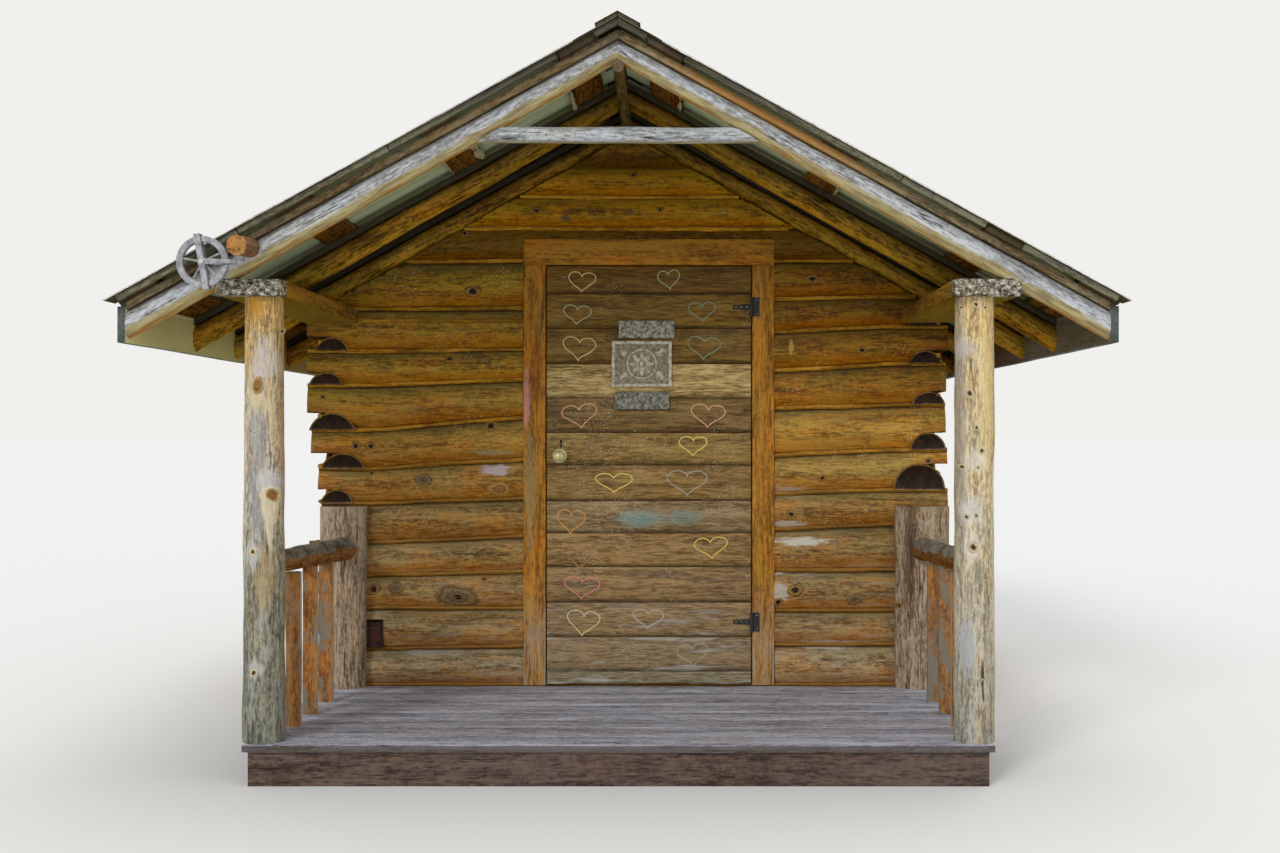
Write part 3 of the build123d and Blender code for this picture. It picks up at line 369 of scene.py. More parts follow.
def blend(tree, share, first, second, way="MIX"):
    """Two colours mixed by a share."""
    made = node(tree, "ShaderNodeMix", data_type="RGBA", blend_type=way)
    plug(tree, share, made.inputs["Factor"])
    plug(tree, first, made.inputs[6])
    plug(tree, second, made.inputs[7])
    return made.outputs[2]


def spread(tree, value, low, high, out_low=0.0, out_high=1.0):
    """A value between two limits, brought to 0 to 1 in a smooth step."""
    made = node(tree, "ShaderNodeMapRange", interpolation_type="SMOOTHSTEP")
    plug(tree, value, made.inputs["Value"])
    made.inputs["From Min"].default_value = low
    made.inputs["From Max"].default_value = high
    made.inputs["To Min"].default_value = out_low
    made.inputs["To Max"].default_value = out_high
    return made.outputs["Result"]


def stain(tree, under, mask, strength, tint):
    """A colour laid over another through a mask, at a strength."""
    return blend(tree, times(tree, mask, strength), under, tint)


def stretched_noise(tree, vector, stretch, detail=4.0, roughness=0.55, distortion=0.0):
    """Noise on a vector that is stretched by different amounts along its axes."""
    scale = node(tree, "ShaderNodeVectorMath", operation="MULTIPLY")
    plug(tree, vector, scale.inputs[0])
    scale.inputs[1].default_value = stretch
    made = node(tree, "ShaderNodeTexNoise")
    tree.links.new(scale.outputs[0], made.inputs["Vector"])
    made.inputs["Scale"].default_value = 1.0
    made.inputs["Detail"].default_value = detail
    made.inputs["Roughness"].default_value = roughness
    made.inputs["Distortion"].default_value = distortion
    return made.outputs["Fac"]


def new_group(name, inputs, outputs):
    """A node group with named sockets, and its input and output nodes."""
    group = bpy.data.node_groups.new(name, "ShaderNodeTree")
    kinds = {"colour": "NodeSocketColor", "value": "NodeSocketFloat", "vector": "NodeSocketVector"}
    for label, kind in inputs:
        group.interface.new_socket(name=label, in_out="INPUT", socket_type=kinds[kind])
    for label, kind in outputs:
        group.interface.new_socket(name=label, in_out="OUTPUT", socket_type=kinds[kind])
    return group, group.nodes.new("NodeGroupInput"), group.nodes.new("NodeGroupOutput")


WARM_STAIN = (1.22, 0.93, 0.55, 1)
COOL_STAIN = (0.86, 1.0, 1.12, 1)


def make_wood_figure():
    """Streaks, fibres, growth lines, checks and weathering of one piece of wood."""
    group, given, put = new_group(
        "wood_figure",
        [("Grain", "vector"), ("Tone", "value"), ("Light", "colour"), ("Dark", "colour"),
         ("Weather", "colour"), ("Weathering", "value"), ("Checks", "value"), ("Figure", "value"),
         ("Hues", "value")],
        [("Color", "colour"), ("Height", "value"), ("Roughness", "value")],
    )
    grain = given.outputs["Grain"]
    streak = stretched_noise(group, grain, (2.2, 22, 22), 5, 0.62, 0.4)
    fibre = stretched_noise(group, grain, (17, 140, 140), 3, 0.7)
    mottle = stretched_noise(group, grain, (42, 80, 80), 4, 0.78)
    contour = stretched_noise(group, grain, (0.8, 6, 6), 1, 0.5, 0.2)
    rings = maths(group, "PINGPONG", times(group, contour, 22), 1)
    rings = times(group, maths(group, "SUBTRACT", rings, 0.5), given.outputs["Figure"])
    share = plus(group, times(group, streak, 0.3), times(group, fibre, 0.36))
    share = plus(group, share, times(group, mottle, 0.34))
    share = spread(group, plus(group, share, times(group, rings, 0.1)), 0.42, 0.6)
    base = blend(group, share, given.outputs["Light"], given.outputs["Dark"])
    toned = blend(group, times(group, given.outputs["Tone"], 0.4), base,
                  blend(group, 1.0, base, (214, 204, 190), "MULTIPLY"))
    hue = stretched_noise(group, grain, (5, 15, 15), 3, 0.6)
    warm = times(group, spread(group, hue, 0.50, 0.36), given.outputs["Hues"])
    cool = times(group, spread(group, hue, 0.50, 0.64), given.outputs["Hues"])
    toned = blend(group, cool, blend(group, warm, toned, WARM_STAIN, "MULTIPLY"), COOL_STAIN, "MULTIPLY")
    patch = stretched_noise(group, grain, (2.2, 14, 14), 5, 0.65)
    worn = plus(group, patch, given.outputs["Weathering"])
    worn = plus(group, worn, times(group, maths(group, "SUBTRACT", fibre, 0.5), 0.9))
    worn = spread(group, worn, 0.62, 0.82)
    weathered = blend(group, times(group, worn, 0.8), toned, blend(
        group, times(group, share, 0.6), given.outputs["Weather"], base))
    thread = stretched_noise(group, grain, (2.2, 60, 60), 2, 0.5, 0.2)
    near = maths(group, "ABSOLUTE", maths(group, "SUBTRACT", thread, 0.5))
    crack = spread(group, near, 0.03, 0.008)
    where = spread(group, stretched_noise(group, grain, (5, 30, 30), 2), 0.53, 0.6)
    crack = times(group, times(group, crack, where), given.outputs["Checks"], clamp=True)
    dark = blend(group, 0.85, weathered, (28, 18, 8))
    group.links.new(blend(group, crack, weathered, dark), put.inputs["Color"])
    height = plus(group, times(group, fibre, 0.45), times(group, mottle, 0.4))
    height = maths(group, "SUBTRACT", height, times(group, crack, 0.9))
    group.links.new(height, put.inputs["Height"])
    group.links.new(spread(group, streak, 0.2, 0.9, 0.52, 0.78), put.inputs["Roughness"])
    return group


def make_specks():
    """Small dots of one size scattered over a surface."""
    group, given, put = new_group(
        "specks", [("Place", "vector"), ("Scale", "value"), ("Amount", "value")], [("Mask", "value")]
    )
    cells = node(group, "ShaderNodeTexVoronoi", feature="F1")
    group.links.new(given.outputs["Place"], cells.inputs["Vector"])
    group.links.new(given.outputs["Scale"], cells.inputs["Scale"])
    dots = spread(group, cells.outputs["Distance"], 0.22, 0.12)
    where = stretched_noise(group, given.outputs["Place"], (5, 5, 5), 3)
    kept = maths(group, "GREATER_THAN", plus(group, where, given.outputs["Amount"]), 0.62)
    group.links.new(times(group, dots, kept), put.inputs["Mask"])
    return group


def make_worn_patch():
    """A ragged oval patch round a point of the surface."""
    group, given, put = new_group(
        "worn_patch", [("Place", "vector"), ("Centre", "vector"), ("Reach", "vector"), ("Ragged", "value")],
        [("Mask", "value")],
    )
    away = node(group, "ShaderNodeVectorMath", operation="SUBTRACT")
    group.links.new(given.outputs["Place"], away.inputs[0])
    group.links.new(given.outputs["Centre"], away.inputs[1])
    scaled = node(group, "ShaderNodeVectorMath", operation="DIVIDE")
    group.links.new(away.outputs[0], scaled.inputs[0])
    group.links.new(given.outputs["Reach"], scaled.inputs[1])
    length = node(group, "ShaderNodeVectorMath", operation="LENGTH")
    group.links.new(scaled.outputs[0], length.inputs[0])
    ragged = times(group, maths(group, "SUBTRACT", given.outputs["Ragged"], 0.5), 2.6)
    edge = plus(group, length.outputs["Value"], ragged)
    group.links.new(spread(group, edge, 1.0, 0.55), put.inputs["Mask"])
    return group


WOOD_FIGURE = make_wood_figure()
SPECKS = make_specks()
WORN_PATCH = make_worn_patch()


def new_material(name):
    material = bpy.data.materials.new(name)
    material.use_nodes = True
    tree = material.node_tree
    shader = tree.nodes["Principled BSDF"]
    return material, tree, shader


def object_place(tree):
    return node(tree, "ShaderNodeTexCoord").outputs["Object"]


def axis_of(tree, vector, axis):
    parts = node(tree, "ShaderNodeSeparateXYZ")
    tree.links.new(vector, parts.inputs[0])
    return parts.outputs[axis]


def height(tree):
    return axis_of(tree, object_place(tree), "Z")


def facing(tree, axis):
    return axis_of(tree, node(tree, "ShaderNodeNewGeometry").outputs["Normal"], axis)


def speckled(tree, under, scale, amount, dot):
    specks = node(tree, "ShaderNodeGroup", node_tree=SPECKS)
    tree.links.new(object_place(tree), specks.inputs["Place"])
    specks.inputs["Scale"].default_value = scale
    specks.inputs["Amount"].default_value = amount
    return blend(tree, specks.outputs["Mask"], under, dot)


def patched(tree, under, patches):
    """Ragged patches of other colours: the centre, half size, colour and strength of each."""
    ragged = stretched_noise(tree, attribute_vector(tree, "grain"), (14, 120, 120), 5, 0.75)
    for centre, reach, tint, strength in patches:
        patch = node(tree, "ShaderNodeGroup", node_tree=WORN_PATCH)
        tree.links.new(object_place(tree), patch.inputs["Place"])
        tree.links.new(ragged, patch.inputs["Ragged"])
        patch.inputs["Centre"].default_value = centre
        patch.inputs["Reach"].default_value = reach
        under = stain(tree, under, patch.outputs["Mask"], strength, tint)
    return under


def ramp(tree, value, stops, steps=False):
    """Colours along a value: each stop is its place and its colour."""
    made = node(tree, "ShaderNodeValToRGB")
    made.color_ramp.interpolation = "CONSTANT" if steps else "LINEAR"
    places = made.color_ramp.elements
    for number, (place, tint) in enumerate(stops):
        stop = places[number] if number < 2 else places.new(place)
        stop.position = place
        stop.color = colour(*tint)
    plug(tree, value, made.inputs[0])
    return made.outputs["Color"]


def attribute_vector(tree, name):
    return node(tree, "ShaderNodeAttribute", attribute_name=name).outputs["Vector"]


def attribute(tree, name):
    return node(tree, "ShaderNodeAttribute", attribute_name=name).outputs["Fac"]


def bump(tree, shader, height, strength, distance):
    made = node(tree, "ShaderNodeBump")
    made.inputs["Strength"].default_value = strength
    made.inputs["Distance"].default_value = distance
    tree.links.new(height, made.inputs["Height"])
    tree.links.new(made.outputs["Normal"], shader.inputs["Normal"])


RAMP_HEIGHT = 3.0


def wood(name, light, dark, weather, weathering=0.0, checks=0.6, extra=None, grainy=0.6, figure_lines=0.3,
         hues=0.35):
    """A wood that follows the grain and tone laid on the piece. Light and dark may be colours by height."""
    material, tree, shader = new_material(name)
    figure = node(tree, "ShaderNodeGroup", node_tree=WOOD_FIGURE)
    tree.links.new(attribute_vector(tree, "grain"), figure.inputs["Grain"])
    tone = attribute(tree, "tone")
    tree.links.new(tone, figure.inputs["Tone"])
    for label, tint in (("Light", light), ("Dark", dark)):
        if isinstance(tint, list):
            share = maths(tree, "DIVIDE", height(tree), RAMP_HEIGHT)
            tint = ramp(tree, share, [(place / RAMP_HEIGHT, shade) for place, shade in tint])
        plug(tree, tint, figure.inputs[label])
    plug(tree, weather, figure.inputs["Weather"])
    figure.inputs["Weathering"].default_value = weathering
    figure.inputs["Checks"].default_value = checks
    figure.inputs["Figure"].default_value = figure_lines
    figure.inputs["Hues"].default_value = hues
    result = figure.outputs["Color"]
    if extra is not None:
        result = extra(tree, result, tone)
    tree.links.new(result, shader.inputs["Base Color"])
    tree.links.new(figure.outputs["Roughness"], shader.inputs["Roughness"])
    shader.inputs["Specular IOR Level"].default_value = 0.25
    tree.links.new(spread(tree, facing(tree, "Z"), -0.5, 0.1, 0.0, 0.25), shader.inputs["Specular IOR Level"])
    bump(tree, shader, figure.outputs["Height"], grainy, 0.002)
    return material


def log_edges(tree, under, dark, orange, dust_and_highlight, depth=0.85):
    """Painted shade at each joint and under each bead, a painted orange glow of bounced light on a log's
    lower part, and dust on its upper part, painted lighter as a highlight on the gable.
    """
    rise = attribute(tree, "log_rise")
    # Painted bounce light: more orange on the lower part.
    lower = blend(tree, spread(tree, rise, 0.5, 0.12, 0.0, 0.5), under, orange)
    upper = blend(tree, spread(tree, rise, 0.62, 0.92, 0.0, 0.5), lower, dust_and_highlight)
    # Painted shade along the joints and under the beads.
    edge = maths(tree, "MAXIMUM", spread(tree, rise, 0.10, 0.02), spread(tree, rise, 0.88, 0.95))
    return stain(tree, upper, edge, depth, dark)


def wall_stain_and_painted_light(tree, under, tone):
    """Painted orange bounce light on the logs' lower parts, painted shade at the joints, bleached near the
    deck, with pale specks and worn patches.
    """
    place = object_place(tree)
    # Painted shade at the joints, painted bounce light low on each log, dust on top.
    stained = log_edges(tree, under, (44, 26, 4), (148, 84, 8), (98, 88, 50))
    right = times(tree, spread(tree, axis_of(tree, place, "X"), 0.55, 0.7),
                  spread(tree, axis_of(tree, place, "Z"), 1.3, 1.5))
    stained = blend(tree, right, stained, (0.84, 0.72, 0.45, 1), "MULTIPLY")
    patch = stretched_noise(tree, place, (2.5, 2.5, 5), 4)
    low = spread(tree, plus(tree, axis_of(tree, place, "Z"), times(tree, patch, 0.7)), 1.35, 0.6)
    streaks = stretched_noise(tree, place, (3.5, 3.5, 70), 5, 0.75)
    bleach = times(tree, low, spread(tree, streaks, 0.5, 0.68))
    result = stain(tree, stained, bleach, 0.6, (168, 156, 134))
    result = patched(tree, result, WALL_PATCHES)
    return speckled(tree, result, 95, 0.02, (206, 190, 164))


FRONT = -1.28
WALL_PATCHES = [
    ((-0.593, FRONT, 1.109), (0.075, 0.3, 0.028), (186, 172, 178), 0.8),
    ((0.770, FRONT, 0.792), (0.150, 0.3, 0.022), (196, 192, 180), 0.85),
    ((0.700, FRONT, 0.868), (0.110, 0.3, 0.020), (182, 174, 158), 0.7),
    ((0.610, FRONT, 0.655), (0.115, 0.3, 0.020), (186, 178, 164), 0.7),
    ((0.690, FRONT, 1.010), (0.130, 0.3, 0.034), (160, 150, 128), 0.6),
    ((0.660, FRONT, 0.565), (0.060, 0.3, 0.060), (188, 182, 170), 0.7),
    ((0.719, FRONT, 1.652), (0.012, 0.3, 0.040), (190, 150, 80), 0.8),
    ((-0.610, FRONT, 1.188), (0.120, 0.3, 0.014), (138, 138, 104), 0.6),
    ((-0.870, FRONT, 0.300), (0.150, 0.3, 0.024), (176, 168, 154), 0.4),
    ((0.900, FRONT, 0.330), (0.160, 0.3, 0.026), (176, 168, 154), 0.7),
]
WALL_LIGHT = [
    (0.15, (182, 160, 124)), (0.45, (176, 144, 92)), (0.90, (168, 134, 74)),
    (1.25, (188, 146, 60)), (1.60, (178, 138, 38)), (1.95, (166, 128, 24)),
]
WALL_DARK = [
    (0.15, (98, 76, 46)), (0.45, (92, 60, 18)), (0.90, (92, 60, 14)),
    (1.25, (110, 72, 8)), (1.60, (92, 62, 4)), (1.95, (74, 50, 2)),
]
WALL_LOG = wood("wall_log_stain_and_painted_light", WALL_LIGHT, WALL_DARK, (134, 118, 84), 0.0, extra=wall_stain_and_painted_light,
                figure_lines=0.4, hues=0.8)


def gable_stain_and_painted_light(tree, under, tone):
    """Painted shade towards the ridge, darker in the strip over the door frame, with painted shade at the
    joints, painted bounce light low on each log and a painted highlight on its upper part.
    """
    high = height(tree)
    # The pale upper tint here is a painted highlight.
    result = log_edges(tree, under, (36, 22, 2), (150, 82, 4), (170, 134, 36),
                       spread(tree, high, 2.37, 2.41, 0.85, 0.1))
    # Painted shade under the ridge.
    top = times(tree, spread(tree, high, 2.443, 2.458), spread(tree, high, 2.53, 2.50, 0.45, 1.0))
    shade = maths(tree, "MAXIMUM", top, spread(tree, high, 2.178, 2.168, 0.0, 0.8))
    result = stain(tree, result, shade, 0.7, (26, 16, 2))
    return speckled(tree, result, 95, -0.04, (170, 156, 110))


GABLE_LOG = wood("gable_log_stain_and_painted_light", (188, 138, 12), (92, 60, 1), (122, 100, 20), 0.0,
                 extra=gable_stain_and_painted_light, hues=0.5)
LOG_END = wood("log_end_grain", (112, 84, 42), (52, 34, 14), (110, 104, 88), 0.2, 0.9)
HALF_MOON_FACE = wood("half_moon_face", (52, 34, 20), (18, 9, 5), (52, 40, 26), 0.0, 0.9)
POCKET = wood("pocket_red_brown", (78, 40, 26), (34, 16, 10), (60, 38, 28), 0.0, 0.9)
HALF_MOON_RIM = wood("half_moon_rim", (150, 118, 66), (64, 44, 22), (120, 104, 70), 0.1, 0.2)


def bead_wear_and_painted_shade(tree, under, tone):
    """Duller low down, and painted shade on the bead's underside, where it shades the log."""
    worn = stain(tree, under, spread(tree, height(tree), 1.45, 0.75), 0.75, (122, 82, 32))
    faded = stretched_noise(tree, object_place(tree), (3, 3, 3), 3)
    shaded = spread(tree, height(tree), 2.0, 2.15, 0.9, 0.0)
    faded = times(tree, spread(tree, faded, 0.5, 0.64, 0.0, 0.6), shaded)
    worn = blend(tree, faded, worn, (96, 66, 20))
    # Painted shade on the downward faces.
    return stain(tree, worn, spread(tree, facing(tree, "Z"), -0.25, -0.6), shaded, (44, 26, 6))


BEAD = wood("joint_bead_wood", (206, 154, 48), (140, 92, 20), (160, 130, 62), 0.0, 0.3,
            extra=bead_wear_and_painted_shade)


def frame_wear(tree, under, tone):
    """Grey-white at the foot of the jambs, with a smear of pink chalk on the left one."""
    place = object_place(tree)
    low = spread(tree, axis_of(tree, place, "Z"), 0.7, 0.2)
    fibres = stretched_noise(tree, attribute_vector(tree, "grain"), (5, 110, 110), 4, 0.7)
    greyed = times(tree, low, spread(tree, fibres, 0.4, 0.62))
    result = stain(tree, under, greyed, 0.8, (162, 156, 138))
    return patched(tree, result, [
        ((-0.455, FRONT, 1.42), (0.018, 0.3, 0.16), (206, 140, 132), 0.7),
        ((-0.44, FRONT, 1.0), (0.03, 0.3, 0.3), (140, 128, 92), 0.5),
    ])


DOOR_FRAME = wood("door_frame_wood", (188, 132, 36), (118, 72, 8), (150, 118, 60), 0.0,
                  extra=frame_wear, figure_lines=0.6, hues=0.6)

# From the bottom board up: the light and dark of each board
DOOR_BOARDS = [
    ((150, 142, 118), (82, 72, 48)), ((156, 136, 106), (84, 64, 40)), ((164, 138, 100), (86, 64, 36)),
    ((160, 130, 88), (84, 58, 26)), ((166, 134, 84), (90, 60, 22)), ((156, 134, 96), (86, 62, 32)),
    ((158, 126, 72), (86, 58, 22)), ((166, 136, 76), (86, 62, 22)), ((138, 110, 62), (68, 46, 14)),
    ((222, 192, 128), (116, 92, 46)), ((144, 112, 48), (76, 52, 10)), ((144, 110, 38), (74, 50, 6)),
    ((128, 90, 20), (72, 46, 2)),
]
BOARD_LIGHTS, BOARD_DARKS = (
    [(place / len(DOOR_BOARDS), pair[shade]) for place, pair in enumerate(DOOR_BOARDS)] for shade in (0, 1)
)


def door_board_tints(tree, under, tone):
    """Each board has its own colours; the tone is its number from the bottom. White worn edges low down."""
    grain = attribute_vector(tree, "grain")
    streaks = stretched_noise(tree, grain, (2.6, 30, 30), 6, 0.66)
    fibres = stretched_noise(tree, grain, (16, 150, 150), 4, 0.75)
    share = plus(tree, times(tree, streaks, 0.4), times(tree, fibres, 0.6))
    share = spread(tree, share, 0.41, 0.59)
    boards = blend(tree, share, ramp(tree, tone, BOARD_LIGHTS, True), ramp(tree, tone, BOARD_DARKS, True))
    result = blend(tree, 0.8, under, boards)
    # Painted shade in the joint along each board's lower edge.
    rise = attribute(tree, "log_rise")
    result = blend(tree, spread(tree, rise, 0.16, 0.0, 0.0, 0.7), result, (40, 26, 10))
    low = spread(tree, height(tree), 0.75, 0.2)
    bare = times(tree, low, spread(tree, streaks, 0.52, 0.66))
    result = stain(tree, result, bare, 0.7, (186, 182, 170))
    result = patched(tree, result, [
        ((0.050, FRONT, 0.893), (0.130, 0.3, 0.045), (112, 152, 150), 0.5),
        ((0.240, FRONT, 0.900), (0.110, 0.3, 0.038), (112, 146, 140), 0.4),
    ])
    return speckled(tree, result, 120, 0.02, (214, 204, 188))


DOOR_BOARD = wood("door_board_wood", (158, 130, 78), (76, 52, 20), (150, 146, 130), 0.0,
                  extra=door_board_tints, figure_lines=1.0, hues=0.5)

POST_FRONT = -2.5
# The stains and scars of the posts, from the top down
LEFT_POST_PATCHES = [
    ((-1.305, POST_FRONT, 1.73), (0.030, 0.3, 0.060), (196, 142, 30), 0.8),
    ((-1.300, POST_FRONT, 1.20), (0.040, 0.3, 0.50), (150, 146, 146), 0.6),
    ((-1.215, POST_FRONT, 1.30), (0.022, 0.3, 0.60), (196, 152, 104), 0.55),
    ((-1.275, POST_FRONT, 1.53), (0.050, 0.3, 0.10), (206, 198, 196), 0.5),
    ((-1.258, POST_FRONT, 1.10), (0.050, 0.3, 0.05), (212, 206, 204), 0.6),
    ((-1.300, POST_FRONT, 1.40), (0.030, 0.3, 0.07), (214, 196, 150), 0.6),
    ((-1.270, POST_FRONT, 0.76), (0.040, 0.3, 0.14), (178, 150, 96), 0.5),
    ((-1.319, POST_FRONT, 0.83), (0.030, 0.3, 0.06), (190, 190, 188), 0.6),
    ((-1.310, POST_FRONT, 0.42), (0.036, 0.3, 0.04), (186, 186, 184), 0.6),
]
RIGHT_POST_PATCHES = [
    ((1.235, POST_FRONT, 1.30), (0.022, 0.3, 0.55), (150, 138, 132), 0.6),
    ((1.330, POST_FRONT, 1.45), (0.040, 0.3, 0.40), (222, 190, 118), 0.5),
    ((1.244, POST_FRONT, 1.572), (0.042, 0.3, 0.042), (188, 176, 170), 0.7),
    ((1.280, POST_FRONT, 1.17), (0.050, 0.3, 0.05), (216, 208, 196), 0.6),
    ((1.270, POST_FRONT, 0.99), (0.050, 0.3, 0.06), (206, 204, 198), 0.6),
    ((1.275, POST_FRONT, 0.86), (0.040, 0.3, 0.06), (214, 206, 196), 0.6),
    ((1.255, POST_FRONT, 0.50), (0.034, 0.3, 0.13), (172, 174, 178), 0.7),
    ((1.300, POST_FRONT, 0.76), (0.020, 0.3, 0.06), (130, 122, 108), 0.6),
    ((1.308, POST_FRONT, 0.38), (0.008, 0.3, 0.09), (44, 34, 22), 0.9),
]


def left_post_marks(tree, under, tone):
    """Yellow and grey stains, and a pale scar shaped like a tear."""
    result = patched(tree, under, LEFT_POST_PATCHES)
    place = object_place(tree)
    down = maths(tree, "SUBTRACT", 1.05, axis_of(tree, place, "Z"))
    half_width = maths(tree, "SUBTRACT", 0.036, times(tree, maths(tree, "ABSOLUTE", down), 0.16))
    away = maths(tree, "ABSOLUTE", plus(tree, axis_of(tree, place, "X"), 1.257))
    ragged = stretched_noise(tree, attribute_vector(tree, "grain"), (30, 90, 90), 3)
    away = plus(tree, away, times(tree, maths(tree, "SUBTRACT", ragged, 0.5), 0.02))
    inside = spread(tree, maths(tree, "SUBTRACT", half_width, away), -0.002, 0.006)
    inside = times(tree, inside, spread(tree, down, -0.032, -0.020))
    inside = times(tree, inside, spread(tree, facing(tree, "Y"), -0.2, -0.4))
    result = stain(tree, result, inside, 0.7, (220, 204, 170))
    return speckled(tree, result, 70, 0.0, (92, 84, 64))


def right_post_marks(tree, under, tone):
    return speckled(tree, patched(tree, under, RIGHT_POST_PATCHES), 70, 0.0, (120, 104, 76))


# The left post is darker and greener towards its foot: painted shade.
POST_LEFT_LIGHT = [
    (0.2, (146, 146, 130)), (0.7, (172, 170, 150)), (1.1, (214, 208, 190)),
    (1.50, (210, 192, 150)), (1.74, (220, 184, 112)),
]
POST_LEFT_DARK = [
    (0.2, (74, 74, 62)), (0.7, (88, 84, 70)), (1.1, (108, 98, 80)),
    (1.50, (112, 92, 56)), (1.74, (126, 94, 44)),
]
POST_RIGHT_LIGHT = [(0.2, (178, 174, 160)), (0.9, (220, 208, 178)), (1.7, (224, 206, 160))]
POST_RIGHT_DARK = [(0.2, (100, 94, 80)), (0.9, (136, 122, 94)), (1.7, (130, 110, 74))]
POST_LEFT = wood("post_wood_grey", POST_LEFT_LIGHT, POST_LEFT_DARK, (176, 176, 168), 0.0, 0.7,
                 extra=left_post_marks, figure_lines=0.2)
POST_RIGHT = wood("post_wood_pale", POST_RIGHT_LIGHT, POST_RIGHT_DARK, (196, 194, 186), 0.0, 0.6,
                  extra=right_post_marks, figure_lines=0.2)


def rail_post_streaks(tree, under, tone):
    result = patched(tree, under, [
        ((-1.035, -1.4, 0.86), (0.010, 0.4, 0.09), (62, 44, 26), 0.8),
        ((1.235, -1.4, 0.8), (0.03, 0.4, 0.4), (72, 46, 24), 0.75),
    ])
    return speckled(tree, result, 70, -0.02, (70, 54, 34))


RAIL_POST = wood("rail_post_wood_brown", (176, 156, 130), (96, 74, 48), (160, 152, 136), 0.0,
                 1.0, extra=rail_post_streaks, hues=0.2)


def rail_bark(tree, under, tone):
    """Grey bark left on the top, with a ragged edge."""
    ragged = stretched_noise(tree, object_place(tree), (26, 12, 26), 5, 0.7)
    up = plus(tree, facing(tree, "Z"), times(tree, ragged, 1.1))
    return blend(tree, spread(tree, up, 0.62, 0.8), under, blend(
        tree, spread(tree, ragged, 0.35, 0.65), (76, 68, 58), (142, 136, 124)))


RAIL = wood("rail_wood_bark", (168, 118, 66), (98, 58, 26), (140, 122, 96), 0.0, 0.6, extra=rail_bark)


def baluster_edges(tree, under, tone):
    """Pale ragged edges; the ones nearer the wall keep grey bark on their left side."""
    side = maths(tree, "ABSOLUTE", facing(tree, "X"))
    place = object_place(tree)
    ragged = stretched_noise(tree, place, (20, 20, 9), 4, 0.7)
    result = blend(tree, spread(tree, plus(tree, side, ragged), 1.05, 1.3), under, (176, 170, 154))
    rear = spread(tree, axis_of(tree, place, "Y"), -2.2, -2.1)
    left = spread(tree, plus(tree, facing(tree, "X"), ragged), 0.52, 0.40)
    return stain(tree, result, rear, left, (118, 112, 98))


BALUSTER = wood("baluster_wood", (172, 116, 54), (96, 56, 20), (160, 146, 120), 0.05,
                extra=baluster_edges)


def inward_facing(tree):
    """One where a surface faces the middle of the cabin, from either side."""
    across = times(tree, facing(tree, "X"), axis_of(tree, object_place(tree), "X"))
    return spread(tree, across, -0.5, -0.9)


def painted_bounce_underside(tree, under, tone):
    # Painted olive bounce light on the downward faces.
    return stain(tree, under, spread(tree, facing(tree, "Z"), -0.5, -0.9), 0.7, (112, 96, 34))


BEAM = wood("beam_wood_brown", (168, 122, 36), (80, 54, 12), (140, 122, 70), 0.0,
            extra=painted_bounce_underside, hues=0.6)


def lichen_speckle(tree, under, tone):
    clumps = stretched_noise(tree, object_place(tree), (46, 46, 60), 6, 0.85)
    dark = blend(tree, spread(tree, clumps, 0.44, 0.50), (26, 24, 20), under)
    return blend(tree, spread(tree, clumps, 0.53, 0.60), dark, (216, 216, 206))


BEAM_END = wood("beam_end_lichen", (150, 136, 108), (84, 70, 48), (140, 136, 120), 0.3,
                extra=lichen_speckle)


def silver_over(tree, under, tone):
    """Silver-grey on top and at the front, tan on the underside, with a ragged edge between."""
    ragged = stretched_noise(tree, attribute_vector(tree, "grain"), (7, 60, 60), 4, 0.7)
    down = plus(tree, times(tree, facing(tree, "Z"), -1), maths(tree, "SUBTRACT", ragged, 0.5))
    tan = blend(tree, spread(tree, ragged, 0.35, 0.65), (190, 174, 116), (130, 112, 62))
    result = blend(tree, spread(tree, down, 0.15, 0.4, 0.0, 0.85), under, tan)
    result = blend(tree, spread(tree, down, 0.7, 0.95, 0.0, 0.8), result, (176, 118, 30))
    return speckled(tree, result, 60, -0.06, (96, 72, 40))


def silver_tie(tree, under, tone):
    """Silver-grey nearly all over, with a little tan on the very underside."""
    result = stain(tree, under, spread(tree, facing(tree, "Z"), -0.72, -0.97), 0.75, (150, 134, 92))
    return speckled(tree, result, 60, 0.0, (96, 84, 62))


TIE = wood("tie_wood_silver", (196, 202, 206), (112, 114, 110), (174, 180, 186), 0.05, 1.0,
           extra=silver_tie, figure_lines=0.1, hues=0.15)
VERGE_POLE = wood("verge_pole_silver", (200, 204, 210), (118, 118, 116), (180, 186, 194), 0.05,
                  1.0, extra=silver_over, figure_lines=0.1, hues=0.1)


def darker_at_ridge(tree, under, tone):
    """Darker on the rafters towards the ridge."""
    return stain(tree, under, spread(tree, height(tree), 2.1, 2.55), 0.45, (48, 38, 12))


RAFTER = wood("rafter_wood_brown", (196, 150, 46), (84, 60, 14), (150, 122, 50), 0.0, 1.0,
              extra=darker_at_ridge, hues=0.6)
RIDGE_POLE = wood("ridge_pole_brown", (118, 96, 52), (50, 36, 14), (120, 110, 80), 0.1, 1.0)


def cap_painted_shade(tree, under, tone):
    """The caps on the inner rafters carry painted shade, darkest further back, so they are darker than the
    one at the verge; that one is more orange on the right, high up.
    """
    place = object_place(tree)
    back = spread(tree, axis_of(tree, place, "Y"), -2.42, -2.38)
    # Painted shade on the caps behind the verge.
    result = stain(tree, under, back, 0.75, (66, 62, 40))
    result = stain(tree, result, spread(tree, axis_of(tree, place, "Y"), -2.1, -1.6), 0.8, (24, 19, 9))
    right = times(tree, spread(tree, axis_of(tree, place, "X"), 0.1, 0.4),
                  spread(tree, axis_of(tree, place, "Z"), 2.1, 2.35))
    front = maths(tree, "SUBTRACT", 1.0, back)
    return stain(tree, result, times(tree, right, front), 0.7, (186, 130, 62))


